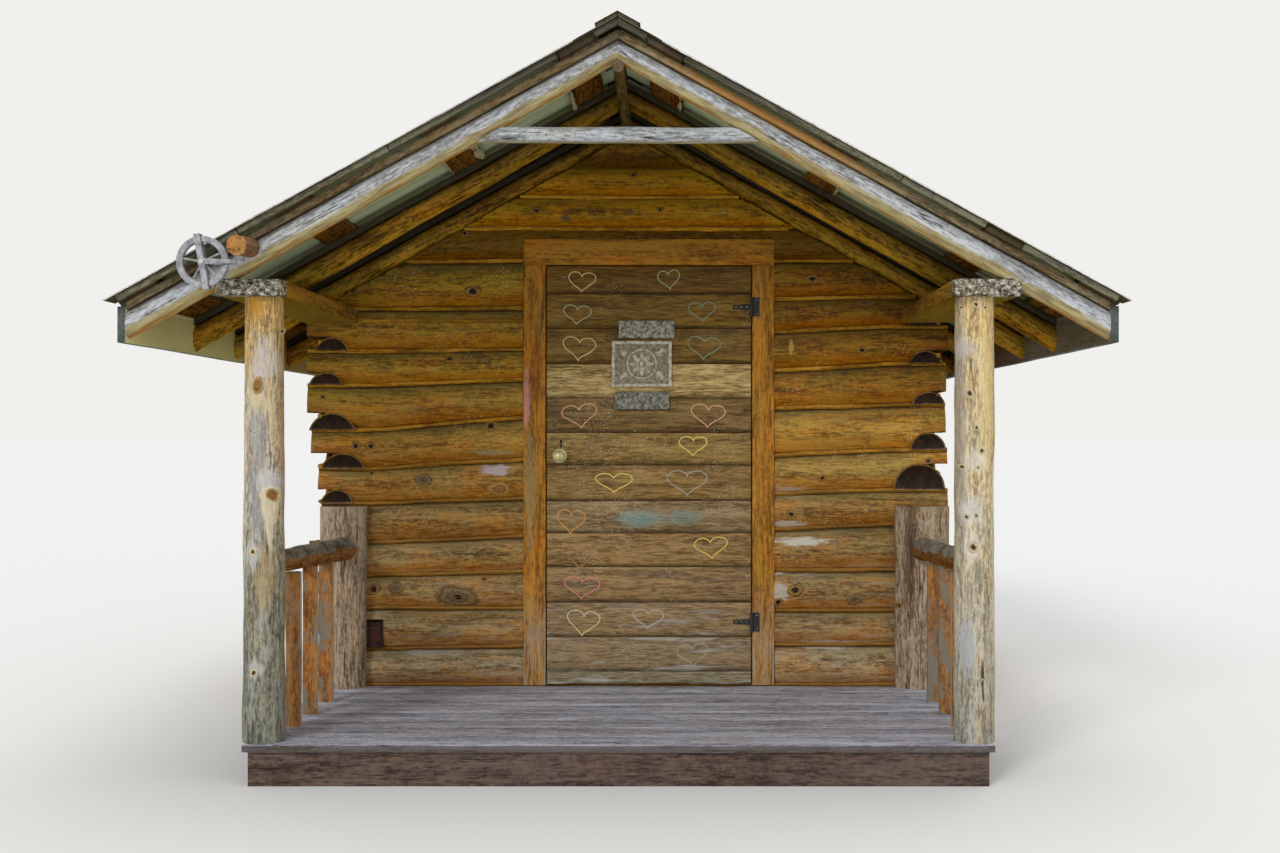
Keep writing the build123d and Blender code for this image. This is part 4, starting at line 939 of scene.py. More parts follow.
ROOF_BOARD = wood("roof_board_grey", (154, 138, 104), (80, 64, 38), (158, 152, 134), 0.0, 0.9,
                  extra=cap_painted_shade)


def purlin_end_painted_shade(tree, under, tone):
    """Painted shade on the ends at the verge, as dark as the shaded underside of the sheet over them."""
    front = spread(tree, axis_of(tree, object_place(tree), "Y"), -2.47, -2.50)
    return stain(tree, under, front, 0.85, (62, 56, 42))


PURLIN = wood("purlin_wood_brown", (128, 88, 34), (52, 32, 8), (110, 96, 64), 0.0, 0.9,
              extra=purlin_end_painted_shade, hues=0.6)


def darker_high(tree, under, tone):
    return stain(tree, under, spread(tree, height(tree), 2.25, 2.55), 0.6, (38, 32, 20))


CLOSER = wood("closer_board_olive", (122, 120, 98), (70, 66, 48), (112, 108, 88), 0.0, 0.5,
              extra=darker_high, grainy=0.3, figure_lines=0.1, hues=0.2)


def fascia_sides(tree, under, tone):
    """The inner faces carry painted light: a yellow glow of bounced light on the left, dull painted shade on
    the right. The front faces are darker.
    """
    # Painted bounce light on the left, painted shade on the right.
    yellow = blend(tree, 0.25, (236, 228, 150), under)
    dull = blend(tree, 0.4, (120, 108, 74), under)
    right = spread(tree, axis_of(tree, object_place(tree), "X"), -0.5, 0.5)
    result = blend(tree, inward_facing(tree), under, blend(tree, right, yellow, dull))
    return stain(tree, result, spread(tree, facing(tree, "Y"), -0.6, -0.9), 0.72, (52, 62, 60))


FASCIA = wood("fascia_grey", (146, 148, 148), (76, 76, 72), (150, 154, 156), 0.1, 1.0,
              extra=fascia_sides, hues=0.1)


def deck_edges(tree, under, tone):
    """Brown on the boards' side faces, darkened further with painted shade."""
    front = spread(tree, maths(tree, "ABSOLUTE", facing(tree, "Z")), 0.6, 0.3)
    result = stain(tree, under, front, 0.85, (68, 56, 46))
    return speckled(tree, result, 60, 0.03, (100, 92, 80))


DECK = wood("deck_wood_weathered", (194, 196, 210), (104, 102, 110), (206, 208, 222), 0.1, 0.9,
            extra=deck_edges, hues=0.15)
SKIRT = wood("deck_skirt_wood", (106, 88, 78), (50, 36, 30), (112, 104, 98), 0.0, 0.9, hues=0.2)
INSIDE_WOOD = wood("inside_wood", (170, 134, 84), (118, 82, 42), (160, 140, 110), 0.0, 0.3)
PEG = wood("peg_wood_pink", (160, 120, 86), (104, 70, 44), (150, 130, 110), 0.0, 0.7)
PEG_END = wood("peg_end_grain", (186, 136, 74), (128, 82, 36), (160, 130, 90), 0.0, 1.0)
KNOT_KINDS = {"dark": 0.0, "orange": 0.35, "grey": 0.65, "pale": 1.0}


KNOT_RINGS = {
    "dark": [(0.0, (12, 8, 4)), (0.38, (34, 22, 10)), (0.50, (120, 88, 44)), (0.66, (160, 122, 62)),
             (0.8, (92, 62, 22))],
    "orange": [(0.0, (96, 60, 28)), (0.3, (160, 110, 52)), (0.5, (84, 56, 26)), (0.66, (158, 122, 70))],
    "grey": [(0.0, (44, 32, 20)), (0.25, (112, 92, 64)), (0.42, (84, 64, 40)), (0.6, (140, 116, 78)),
             (0.75, (90, 64, 34))],
    "pale": [(0.0, (38, 26, 14)), (0.28, (72, 52, 30)), (0.44, (112, 92, 62)), (0.62, (196, 180, 148))],
}


def knot_rings(tree, under, tone):
    """Uneven rings round a dark heart, which fade into the wood round them."""
    rough = stretched_noise(tree, object_place(tree), (110, 110, 110), 4, 0.75)
    ragged = times(tree, maths(tree, "SUBTRACT", rough, 0.5), 1.0)
    reach = plus(tree, attribute(tree, "knot_reach"), ragged)
    result = under
    for kind, level in KNOT_KINDS.items():
        rings = ramp(tree, reach, KNOT_RINGS[kind])
        away = maths(tree, "ABSOLUTE", maths(tree, "SUBTRACT", attribute(tree, "knot_kind"), level))
        result = blend(tree, spread(tree, away, 0.12, 0.08), result, rings)
    return blend(tree, spread(tree, reach, 1.06, 0.74), under, result)


KNOT = wood("knot_in_wall", WALL_LIGHT, WALL_DARK, (134, 118, 84), extra=knot_rings)
GABLE_KNOT = wood("knot_in_gable", (188, 138, 12), (92, 60, 1), (122, 100, 20), extra=knot_rings)
POST_KNOT = wood("knot_in_post", POST_RIGHT_LIGHT, POST_RIGHT_DARK, (196, 194, 186), extra=knot_rings)


def mineral(name, light, dark, scale, roughness=0.85, metallic=0.0, relief=0.4, extra=None):
    """A surface of clouds and fine grain, for stone, metal and paint."""
    material, tree, shader = new_material(name)
    place = object_place(tree)
    cloud = stretched_noise(tree, place, (scale, scale, scale), 6, 0.65)
    fine = stretched_noise(tree, place, (scale * 9, scale * 9, scale * 9), 3, 0.6)
    mixed = plus(tree, cloud, times(tree, maths(tree, "SUBTRACT", fine, 0.5), 0.5))
    result = blend(tree, spread(tree, mixed, 0.3, 0.7), dark, light)
    if extra is not None:
        result = extra(tree, result)
    tree.links.new(result, shader.inputs["Base Color"])
    tree.links.new(spread(tree, mixed, 0.3, 0.7, roughness, roughness - 0.15), shader.inputs["Roughness"])
    shader.inputs["Specular IOR Level"].default_value = 0.4
    tree.links.new(spread(tree, facing(tree, "Z"), -0.5, 0.1, 0.0, 0.4), shader.inputs["Specular IOR Level"])
    shader.inputs["Metallic"].default_value = metallic
    bump(tree, shader, mixed, relief, 0.002)
    return material


def sheet_dirt_and_painted_light(tree, under):
    """Grime that runs down the slope, moss near the ridge and a bright cut edge at the verge. The underside
    is painted pale, standing in for bounced light, with painted shade along the front verge, and dark along
    the eaves.
    """
    place = object_place(tree)
    runs = stretched_noise(tree, place, (1.2, 26, 1.2), 5, 0.65)
    grimy = blend(tree, spread(tree, runs, 0.45, 0.7), under, (70, 66, 44))
    clumps = stretched_noise(tree, place, (14, 14, 14), 5, 0.7)
    high = spread(tree, axis_of(tree, place, "Z"), 2.2, 2.75, 0.0, 0.22)
    mossy = spread(tree, plus(tree, clumps, high), 0.62, 0.7)
    up = spread(tree, facing(tree, "Z"), 0.1, 0.3)
    mossy = stain(tree, grimy, mossy, up, (72, 76, 28))
    edge = spread(tree, times(tree, facing(tree, "Y"), -1), 0.85, 0.95)
    under_side = spread(tree, facing(tree, "Z"), -0.05, -0.2)
    out = maths(tree, "ABSOLUTE", axis_of(tree, place, "X"))
    edge = times(tree, edge, spread(tree, out, 0.13, 0.16))
    # Painted shade along the front verge; dark along the eaves too.
    forward = spread(tree, axis_of(tree, place, "Y"), -2.49, -2.51)
    verge = maths(tree, "MAXIMUM", forward, spread(tree, out, 1.70, 1.74))
    # Painted light: the underside paler, standing in for bounced light.
    pale = blend(tree, spread(tree, runs, 0.35, 0.8), (188, 200, 160), (150, 160, 118))
    result = blend(tree, under_side, mossy, blend(tree, verge, pale, (84, 78, 58)))
    return blend(tree, edge, result, (206, 208, 200))


SHEET = mineral("roof_sheet_metal", (148, 152, 128), (112, 116, 94), 3, 0.6, 0.0, 0.1, sheet_dirt_and_painted_light)
SHEET_EDGE = mineral("sheet_cut_edge", (226, 226, 220), (150, 150, 136), 40, 0.5, 0.0, 0.2)
BARK = mineral("bark_strip_pale", (196, 192, 152), (120, 112, 76), 90, 0.9, 0.0, 0.7)
SCREW = mineral("screw_steel", (160, 158, 150), (96, 92, 84), 90, 0.5, 0.6, 0.2)
RIDGE = mineral("ridge_cap_mossy", (104, 98, 52), (44, 36, 10), 16, 0.9, 0.0, 0.6)
IRON = mineral("hinge_black_iron", (52, 48, 44), (20, 18, 17), 40, 0.7, 0.0, 0.4)
KEYHOLE_DARK = mineral("keyhole_dark", (26, 22, 18), (10, 8, 6), 40, 0.8, 0.0, 0.2)
BRASS = mineral("knob_worn_brass", (240, 232, 176), (176, 162, 104), 50, 0.4, 0.35, 0.15)


def lower_sign_darker(tree, under):
    return stain(tree, under, spread(tree, height(tree), 1.55, 1.50), 0.35, (40, 44, 44))


STONE = mineral("plaque_rough_stone", (186, 184, 166), (66, 64, 46), 70, 0.92, 0.0, 0.9, lower_sign_darker)
STONE_PALE = mineral("plaque_carving", (216, 210, 192), (138, 134, 114), 60, 0.92, 0.0, 0.9)
STONE_DARK = mineral("plaque_ground", (164, 154, 130), (98, 90, 68), 60, 0.95, 0.0, 0.9)
STEEL = mineral("hook_steel", (200, 200, 196), (150, 150, 146), 60, 0.4, 0.7, 0.1)


def cast_lichen(tree, under):
    clumps = stretched_noise(tree, object_place(tree), (45, 45, 45), 4, 0.7)
    up = spread(tree, facing(tree, "Z"), 0.0, 0.9, 0.0, 0.2)
    return blend(tree, spread(tree, plus(tree, clumps, up), 0.66, 0.76), under, (150, 150, 60))


ALLOY = mineral("pulley_cast_alloy", (168, 168, 174), (112, 112, 116), 45, 0.6, 0.2, 0.4, cast_lichen)


# The log walls


WALL_STEP = 0.07
WALL_WANDER = (0.42, 0.0045, 3)
BED_EDGE = 0.062
BEAD_RADIUS = 0.0100
BEAD_PROUD = 0.004
INSET_RIM = 0.006
HIGHEST_BEAD = 2.4


def half_moon_rims(piece):
    """A pale rim round each dark end of the side logs, and the face a little sunk."""
    reach = max(vertex.co.y for vertex in piece.data.vertices) - 0.0005

    def is_end(middle, normal):
        return abs(normal.y) > 0.99 and abs(middle.y) > reach

    for face in piece.data.polygons:
        face.material_index = 2 if is_end(face.center, face.normal) else 0
    choose_faces(piece, is_end)
    edit(piece)
    bpy.ops.mesh.inset(thickness=INSET_RIM, depth=-0.004, use_individual=True)
    finish_edit()
    for face in piece.data.polygons:
        if face.select:
            face.material_index = 3


def log_joints(piece, along, wall_line):
    """For each log, the vertices of its upper outer bed edge."""
    mesh = piece.data
    across = Y_AXIS if along is X_AXIS else X_AXIS
    out = math.copysign(1, wall_line)
    edge_line = wall_line + out * BED_EDGE
    runs = []
    for part in loose_parts(mesh):
        heights = [mesh.vertices[index].co.z for index in part]
        middle = (max(heights) + min(heights)) / 2
        run = []
        for index in part:
            point = mesh.vertices[index].co
            if abs(point.dot(across) - edge_line) < 0.0015 and point.z > middle:
                run.append(index)
        run.sort(key=lambda index: mesh.vertices[index].co.dot(along))
        runs.append(run)
    return runs


def joint_beads(name, piece, runs, along, out, seed):
    """The raised strips that close the joints between a wall's logs."""
    beads = []
    for number, run in enumerate(runs):
        points = []
        for index in run:
            point = piece.data.vertices[index].co.copy()
            if not points or (point - points[-1]).length > 0.03:
                ripple = drift(point, 0.07, 0.0022, seed + number)
                points.append(point + ripple - along * ripple.dot(along) + out * BEAD_PROUD)
        if len(points) > 2 and points[0].z < HIGHEST_BEAD:
            beads.append(strip_along(name, points, BEAD_RADIUS, vary=0.45, seed=seed + number))
    beads = join_pieces(beads, name)
    lay_grain(beads, seed, along)
    return dress(beads, [BEAD])


def log_wall(node_name, along, wall_line, seed, gable=False):
    """A wall of the frame with wandering, grained logs, and the beads in its joints."""
    piece = working_copy(node_name, node_name + "_logs")
    side_wall = along is Y_AXIS
    if side_wall:
        half_moon_rims(piece)
    slice_across(piece, along, WALL_STEP)
    runs = log_joints(piece, along, wall_line)
    lay_rise(piece, along, WALL_STEP)
    wander(piece, *WALL_WANDER)
    lay_grain(piece, seed, along)
    main = GABLE_LOG if gable else WALL_LOG
    ends = {face.index: face.material_index for face in piece.data.polygons} if side_wall else {}
    for material in (main, LOG_END, HALF_MOON_RIM, HALF_MOON_FACE):
        piece.data.materials.append(material)
    for face in piece.data.polygons:
        if ends.get(face.index, 0) >= 2:
            face.material_index = ends[face.index]
        elif abs(face.normal.dot(along)) > 0.9:
            face.material_index = 1
        else:
            face.material_index = 0
    dress(piece, [], replaces=[node_name])
    out = (Y_AXIS if along is X_AXIS else X_AXIS) * math.copysign(1, wall_line)
    joint_beads(node_name + "_beads", piece, runs, along, out, seed + 50)
    return piece


FRONT_LINE = -1.2
SIDE_LINE = 1.308
walls = {}
for number, (name, along, line) in enumerate((
    ("front_sill_log", X_AXIS, FRONT_LINE),
    ("front_wall_left", X_AXIS, FRONT_LINE),
    ("front_wall_right", X_AXIS, FRONT_LINE),
    ("front_gable", X_AXIS, FRONT_LINE),
    ("back_wall", X_AXIS, -FRONT_LINE),
    ("back_gable", X_AXIS, -FRONT_LINE),
    ("left_wall", Y_AXIS, -SIDE_LINE),
    ("right_wall", Y_AXIS, SIDE_LINE),
)):
    walls[name] = log_wall(name, along, line, 10 + number, name.endswith("gable"))


# Knots


def knot_master():
    """A flattened ball whose rings lie round its middle, sunk half way into the wood when it is laid."""
    master = new_ball(18)
    edit(master)
    bpy.ops.mesh.select_all(action="SELECT")
    bpy.ops.transform.resize(value=(1, 1, 0.999))
    finish_edit()
    return master


KNOT_MASTER = knot_master()
OUTWARDS = {"front": -Y_AXIS, "back": Y_AXIS, "left": -X_AXIS, "right": X_AXIS}


def surface_of(piece):
    mesh = piece.data
    return BVHTree.FromPolygons([v.co for v in mesh.vertices], [p.vertices for p in mesh.polygons])


def lay_knots(name, surface, out, knots, slot, rise, material):
    """Knots laid on a surface: place across, height, width, height of the oval, kind."""
    across = Z_AXIS.cross(out)
    draw = random.Random(len(knots) * 7 + 1)
    made = []
    for place, height, wide, tall, kind in knots:
        lean = draw.uniform(-0.3, 0.3)
        middle = surface.ray_cast(across * place + Z_AXIS * height + out * 4, -out)[0]
        if middle is None:
            continue
        mesh = KNOT_MASTER.data.copy()
        depth = middle.dot(out)
        reaches = []
        for vertex in mesh.vertices:
            flat = math.hypot(vertex.co.x, vertex.co.y)
            draw_at = Vector((vertex.co.x * 1.4, vertex.co.y * 1.4, place * 31 + height * 17))
            wobble = 1 + 0.25 * noise.noise(draw_at)
            step_across = vertex.co.x * wide / 2 * wobble
            step_up = vertex.co.y * tall / 2 * wobble + step_across * lean * tall / wide
            start = across * (place + step_across) + Z_AXIS * (height + step_up) + out * 4
            hit = surface.ray_cast(start, -out)[0]
            if hit is not None and abs(hit.dot(out) - middle.dot(out)) < 0.02:
                depth = hit.dot(out)
            level = rise * vertex.co.z if vertex.co.z > 0 else 0.004 * vertex.co.z
            vertex.co = start + out * (depth + level - start.dot(out))
            reaches.append(flat)
        lay_values(mesh, "knot_reach", reaches)
        lay_values(mesh, "knot_kind", [KNOT_KINDS[kind]] * len(reaches))
        made.append(new_piece(name, mesh))
    knots_piece = join_pieces(made, name)
    lay_grain(knots_piece, len(knots), across if slot != "post_wood" else Z_AXIS)
    return dress(knots_piece, [material])


def scattered_knots(count, low, high, bottom, top, seed):
    draw = random.Random(seed)
    kinds = ["dark", "dark", "grey", "orange"]
    return [
        (draw.uniform(low, high), draw.uniform(bottom, top),
         draw.uniform(0.02, 0.055), draw.uniform(0.016, 0.035), draw.choice(kinds))
        for knot in range(count)
    ]


# Across, height, width and height in millimetres of each knot that shows on the front, and its kind
LEFT_WALL_KNOTS = in_metres([
    (-695, 1901, 81, 57, "dark"), (-797, 1603, 46, 32, "dark"), (-1362, 1434, 27, 22, "dark"),
    (-1215, 1216, 51, 46, "dark"), (-1148, 1216, 46, 41, "dark"), (-1148, 1096, 30, 22, "dark"),
    (-917, 1065, 95, 61, "grey"), (-615, 1305, 62, 57, "dark"), (-579, 1025, 101, 54, "orange"),
    (-1135, 580, 65, 54, "dark"), (-1037, 585, 76, 59, "grey"), (-762, 545, 216, 101, "grey"),
    (-762, 545, 95, 49, "dark"), (-646, 625, 30, 24, "dark"),
])
RIGHT_WALL_KNOTS = in_metres([
    (812, 1958, 59, 43, "dark"), (1048, 1852, 68, 35, "grey"), (1034, 1643, 46, 35, "dark"),
    (856, 1074, 41, 32, "dark"), (719, 914, 51, 38, "dark"), (1328, 1149, 41, 32, "dark"),
    (736, 576, 76, 59, "dark"), (999, 536, 81, 59, "grey"), (661, 523, 49, 38, "dark"),
])
GABLE_KNOTS = in_metres([
    (-412, 2262, 42, 32, "dark"), (-282, 2228, 44, 34, "grey"), (5, 2255, 30, 24, "grey"),
    (137, 2266, 36, 26, "dark"), (420, 2258, 20, 16, "pale"), (19, 2420, 34, 26, "dark"),
    (-732, 2162, 40, 30, "dark"), (47, 2152, 30, 18, "dark"), (478, 2150, 34, 18, "dark"),
])
for name, side, knots in (
    ("front_wall_left", "front", LEFT_WALL_KNOTS),
    ("front_wall_right", "front", RIGHT_WALL_KNOTS),
    ("front_gable", "front", GABLE_KNOTS),
    ("back_wall", "back", scattered_knots(26, -1.15, 1.15, 0.25, 1.9, 81)),
    ("back_gable", "back", scattered_knots(8, -0.5, 0.5, 2.1, 2.4, 82)),
    ("left_wall", "left", scattered_knots(26, -1.0, 1.0, 0.2, 1.85, 83)),
    ("right_wall", "right", scattered_knots(26, -1.0, 1.0, 0.2, 1.85, 84)),
):
    slot, material = ("gable_log", GABLE_KNOT) if name.endswith("gable") else ("wall_log", KNOT)
    lay_knots(name + "_knots", surface_of(walls[name]), OUTWARDS[side], knots, slot, 0.003, material)


def narrow_log_bead():
    """One more strip on the left, which closes the joint over a narrow log."""
    surface = surface_of(walls["front_wall_left"])
    points = []
    for step in range(32):
        start = Vector((-1.19 + 0.715 * step / 31, -4, 1.772))
        start.z += drift(start, 0.07, 0.0022, 6).z
        hit = surface.ray_cast(start, Y_AXIS)[0]
        if hit is not None:
            points.append(hit + Vector((0, 0.002, 0)))
    bead = strip_along("narrow_log_bead", points, BEAD_RADIUS * 0.9, vary=0.4, seed=71)
    lay_grain(bead, 71, X_AXIS)
    dress(bead, [BEAD])


narrow_log_bead()


def dark_pocket():
    """A square end of dark heartwood let into the wall near the left rail post."""
    centre, wide, tall = (-1.135, 0.385), 0.082, 0.122
    surface = surface_of(walls["front_wall_left"])
    rows = [centre[1] + tall * share for share in (-0.45, -0.2, 0, 0.2, 0.45)]
    face = min(surface.ray_cast(Vector((centre[0], -4, row)), Y_AXIS)[0].y for row in rows)
    piece = new_cube((centre[0], face + 0.007, centre[1]), (wide, 0.034, tall))
    piece.name = "dark_pocket"
    lay_flat(piece)
    choose_faces(piece, lambda middle, normal: normal.y < -0.9)
    edit(piece)
    bpy.ops.mesh.inset(thickness=0.010, depth=-0.006)
    bpy.ops.mesh.select_all(action="SELECT")
    bpy.ops.mesh.bevel(offset=0.002, segments=2)
    finish_edit()
    slice_across(piece, Z_AXIS, 0.012)
    wander(piece, 0.05, 0.0015, 9)
    lay_grain(piece, 9, X_AXIS)
    dress(piece, [HALF_MOON_FACE, POCKET], pick=lambda middle, normal: 1 if (
        abs(middle.x - centre[0]) < wide / 2 - 0.011 and abs(middle.z - centre[1]) < tall / 2 - 0.011) else 0)


dark_pocket()


# The other timber


def timber(node_name, materials, step, length, reach, seed, along=None, pick=None, body="cabin",
           bevel=0.0):
    """A worked copy of a node's timber, wandering a little, with its grain laid."""
    piece = working_copy(node_name, node_name + "_timber")
    if bevel:
        wear_edges(piece, bevel)
    for axis in (X_AXIS, Y_AXIS, Z_AXIS) if along is None else (along,):
        reach_along = [vertex.co.dot(axis) for vertex in piece.data.vertices]
        if along is not None or max(reach_along) - min(reach_along) >= 0.5:
            slice_across(piece, axis, step)
    if reach:
        wander(piece, length, reach, seed, along)
    lay_grain(piece, seed, along)
    return dress(piece, materials, body, [node_name], pick)


timber("floor_joists", [INSIDE_WOOD], 0.5, 1, 0, 31, Y_AXIS)
timber("floor_boards", [INSIDE_WOOD], 0.3, 1, 0.001, 32, X_AXIS)
timber("deck_joists", [SKIRT], 0.5, 1, 0, 33, Y_AXIS)
timber("deck_skirts", [SKIRT], 0.1, 0.5, 0.0015, 34, X_AXIS)
timber("deck_boards", [DECK], 0.08, 0.3, 0.0015, 35, X_AXIS, bevel=0.003)
timber("door_frame", [DOOR_FRAME], 0.12, 0.5, 0.0008, 36, bevel=0.003)
timber("door_battens", [INSIDE_WOOD], 0.3, 1, 0, 38, Z_AXIS, body="door")
posts = timber("porch_posts", [POST_LEFT, POST_RIGHT], 0.035, 0.22, 0.005, 39, Z_AXIS,
       pick=lambda middle, normal: 0 if middle.x < 0 else 1)
rail_posts = timber("rail_posts", [RAIL_POST], 0.05, 0.25, 0.004, 40, Z_AXIS)
timber("porch_rails", [RAIL], 0.035, 0.16, 0.004, 41, Y_AXIS)
timber("balusters", [BALUSTER], 0.04, 0.2, 0.003, 42, Z_AXIS)
timber("porch_beams", [BEAM, BEAM_END], 0.06, 0.3, 0.003, 43, Y_AXIS, bevel=0.008,
       pick=lambda middle, normal: 1 if middle.y < -2.44 else 0)
timber("ridge_pole", [RIDGE_POLE, LOG_END], 0.1, 0.4, 0.002, 44, Y_AXIS,
       pick=lambda middle, normal: 1 if abs(normal.y) > 0.9 else 0)
timber("collar_tie", [TIE], 0.04, 0.25, 0.003, 45, X_AXIS)
timber("fascia_boards", [FASCIA], 0.1, 0.4, 0.002, 46, Y_AXIS, bevel=0.002)
timber("pulley_peg", [PEG, PEG_END], 0.03, 0.1, 0.001, 47, Y_AXIS,
       pick=lambda middle, normal: 1 if normal.y < -0.9 else 0)

for name, side in (("left", -1), ("right", 1)):
    slope = DOWN_SLOPE[side]
    timber("rafters_" + name, [RAFTER, VERGE_POLE], 0.06, 0.3, 0.004, 50 + side, slope,
           pick=lambda middle, normal: 1 if middle.y < -2.4 else 0)
    timber("rafter_caps_" + name, [ROOF_BOARD], 0.08, 0.3, 0.0015, 54 + side, slope,
           bevel=0.002)
    timber("purlins_" + name, [PURLIN], 0.1, 0.4, 0.0015, 58 + side, Y_AXIS, bevel=0.002)


POST_KNOTS = in_metres([
    (-1298, 1443, 44, 72, "orange"), (-1250, 1048, 42, 48, "orange"), (-1225, 1640, 20, 20, "pale"),
    (-1315, 844, 30, 30, "pale"), (-1312, 408, 32, 36, "pale"), (1238, 1725, 14, 14, "pale"),
    (1285, 1733, 28, 28, "pale"), (1320, 1722, 18, 18, "pale"), (1264, 1414, 34, 36, "pale"),
    (1286, 1289, 20, 22, "pale"), (1305, 1207, 26, 28, "pale"), (1239, 1149, 24, 26, "pale"),
    (1291, 1146, 14, 14, "pale"), (1254, 968, 24, 24, "pale"), (1286, 974, 18, 18, "pale"),
    (1275, 860, 42, 46, "pale"), (1220, 802, 16, 20, "pale"), (1320, 735, 12, 14, "pale"),
    (1307, 382, 12, 14, "pale"),
])
BACK_POST_KNOTS = in_metres([
    (1280, 1300, 50, 60, "orange"), (1300, 700, 40, 50, "grey"), (-1300, 1000, 40, 50, "pale"),
    (-1280, 1500, 30, 30, "pale"),
])
RAIL_POST_KNOTS = in_metres([
    (1190, 515, 26, 26, "dark"), (-1080, 620, 22, 26, "dark"),
])
for name, piece, side, knots, slot, rise, material in (
    ("post_knots", posts, "front", POST_KNOTS, "post_wood", 0.004, POST_KNOT),
    ("post_back_knots", posts, "back", BACK_POST_KNOTS, "post_wood", 0.004, POST_KNOT),
    ("rail_post_knots", rail_posts, "front", RAIL_POST_KNOTS, "rail_post_wood", 0.002, KNOT),
):
    lay_knots(name, surface_of(piece), OUTWARDS[side], knots, slot, rise, material)


def sheet_edges(side, name):
    """The bright cut edge of a roof sheet along the front verge."""
    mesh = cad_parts[name].data
    front = min(vertex.co.y for vertex in mesh.vertices)
    edge = [vertex.co for vertex in mesh.vertices if vertex.co.y < front + 0.001]
    top = min(edge, key=lambda point: abs(point.x))
    foot = max(edge, key=lambda point: abs(point.x))
    inward = Vector((0, 0.0025, 0))
    points = [top.lerp(foot, step / 24) + inward for step in range(2, 25)]
    points = [point + Vector((0, 0, 0.0015 * noise.noise(point * 9) - 0.001)) for point in points]
    strip = strip_along(name + "_edge", points, 0.0026, rounds=1, vary=0.5, seed=side)
    dress(strip, [SHEET_EDGE])


sheet_edges(-1, "roof_sheet_left")
sheet_edges(1, "roof_sheet_right")

# The strip on each fascia: how far out, how low and how far forward and back. The height is at the ridge.
PURLIN_UNDERSIDE = 2.7119
WEDGE_IN = 1.7568
WEDGE_OUT = 1.779
WEDGE_FOOT = 1.7232
WEDGE_FRONT = -2.495
WEDGE_BACK = 1.53


def eaves_closers():
    """A tapered strip on each fascia board, up to the eaves purlin."""
    made = []
    for side in (-1, 1):
        strip = new_cube()
        for vertex in strip.data.vertices:
            out = WEDGE_OUT if vertex.co.x * side > 0 else WEDGE_IN
            high = PURLIN_UNDERSIDE - ROOF_SLOPE * out if vertex.co.z > 0 else WEDGE_FOOT
            vertex.co = Vector((side * out, WEDGE_BACK if vertex.co.y > 0 else WEDGE_FRONT, high))
        round_all_edges(strip, 0.001)
        slice_across(strip, Y_AXIS, 0.2)
        made.append(strip)
    strips = join_pieces(made, "eaves_closers")
    lay_grain(strips, 95, Y_AXIS)
    dress(strips, [FASCIA])


eaves_closers()

# Along the slope, in metres: where the dark boards under the sheet's front edge start and end
CLOSERS = {
    -1: [(-1.335, -1.225), (-1.072, -0.395), (-0.391, 0.214), (0.218, 0.705)],
    1: [(-1.335, -1.202), (-1.050, -0.172), (-0.168, 0.170), (0.322, 0.705)],
}
# Off the slope, and from front to back
CLOSER_SECTION = ((2.3738, 2.3974), (-2.552, -2.5385))
RIDGE_SECTION = ((2.3985, 2.4129), (-2.560, 1.595))
RIDGE_RUN = (-1.333, -1.2465)
RIDGE_CUT = 0.0008


def slope_board(side, run, section, segments=1):
    """A board along the roof's slope, cut plumb at the ridge, with rounded edges."""
    board = new_cube()
    for vertex in board.data.vertices:
        off, forward = section[0][vertex.co.z > 0], section[1][vertex.co.y > 0]
        along = run[1] if vertex.co.x > 0 else max(run[0], RIDGE_CUT - off * ROOF_SLOPE)
        vertex.co = DOWN_SLOPE[side] * along + OFF_SLOPE[side] * off + Y_AXIS * forward
    if side < 0:
        board.data.flip_normals()
    round_all_edges(board, 0.002, segments)
    return board


def verge_closers(side, name):
    """Dark boards that close the gap between the verge rafter and the sheet, nailed to the purlins' ends."""
    made = [slope_board(side, run, CLOSER_SECTION) for run in CLOSERS[side]]
    for board in made:
        slice_across(board, DOWN_SLOPE[side], 0.05)
    boards = join_pieces(made, name)
    wander(boards, 0.11, 0.0016, 90 + side, Y_AXIS)
    lay_grain(boards, 90 + side, DOWN_SLOPE[side])
    dress(boards, [CLOSER])


verge_closers(-1, "verge_closers_left")
verge_closers(1, "verge_closers_right")


def ridge_closers():
    """A strip under each wing of the ridge cap, over the sheet, that closes the gap between the ribs."""
    made = [slope_board(side, RIDGE_RUN, RIDGE_SECTION, 2) for side in (-1, 1)]
    for strip in made:
        slice_across(strip, Y_AXIS, 0.15)
    strips = join_pieces(made, "ridge_closers")
    lay_grain(strips, 96, Y_AXIS)
    dress(strips, [CLOSER])


ridge_closers()


def bark_strips():
    """Pale frayed bark left on the edges of the purlins: side, place down the slope, from, to, radius."""
    made = []
    for side, down, start, stop, radius in (
        (-1, -1.080, -2.40, -1.32, 0.007), (-1, -0.654, -2.16, -1.84, 0.013),
        (-1, -0.640, -2.12, -1.90, 0.011), (-1, -0.516, -2.38, -1.40, 0.004),
        (1, -1.057, -2.40, -1.60, 0.008), (1, -0.480, -2.36, -2.10, 0.013),
        (1, -0.342, -2.38, -1.50, 0.004),
    ):
        points = []
        steps = round((stop - start) / 0.018)
        for step in range(steps + 1):
            point = DOWN_SLOPE[side] * down + OFF_SLOPE[side] * 2.373 + Y_AXIS * (start + 0.018 * step)
            points.append(point + drift(point, 0.03, 0.006, 12))
        made.append(strip_along("bark", points, radius, vary=1.3, seed=3))
    dress(join_pieces(made, "purlin_bark"), [BARK])


bark_strips()


# The door


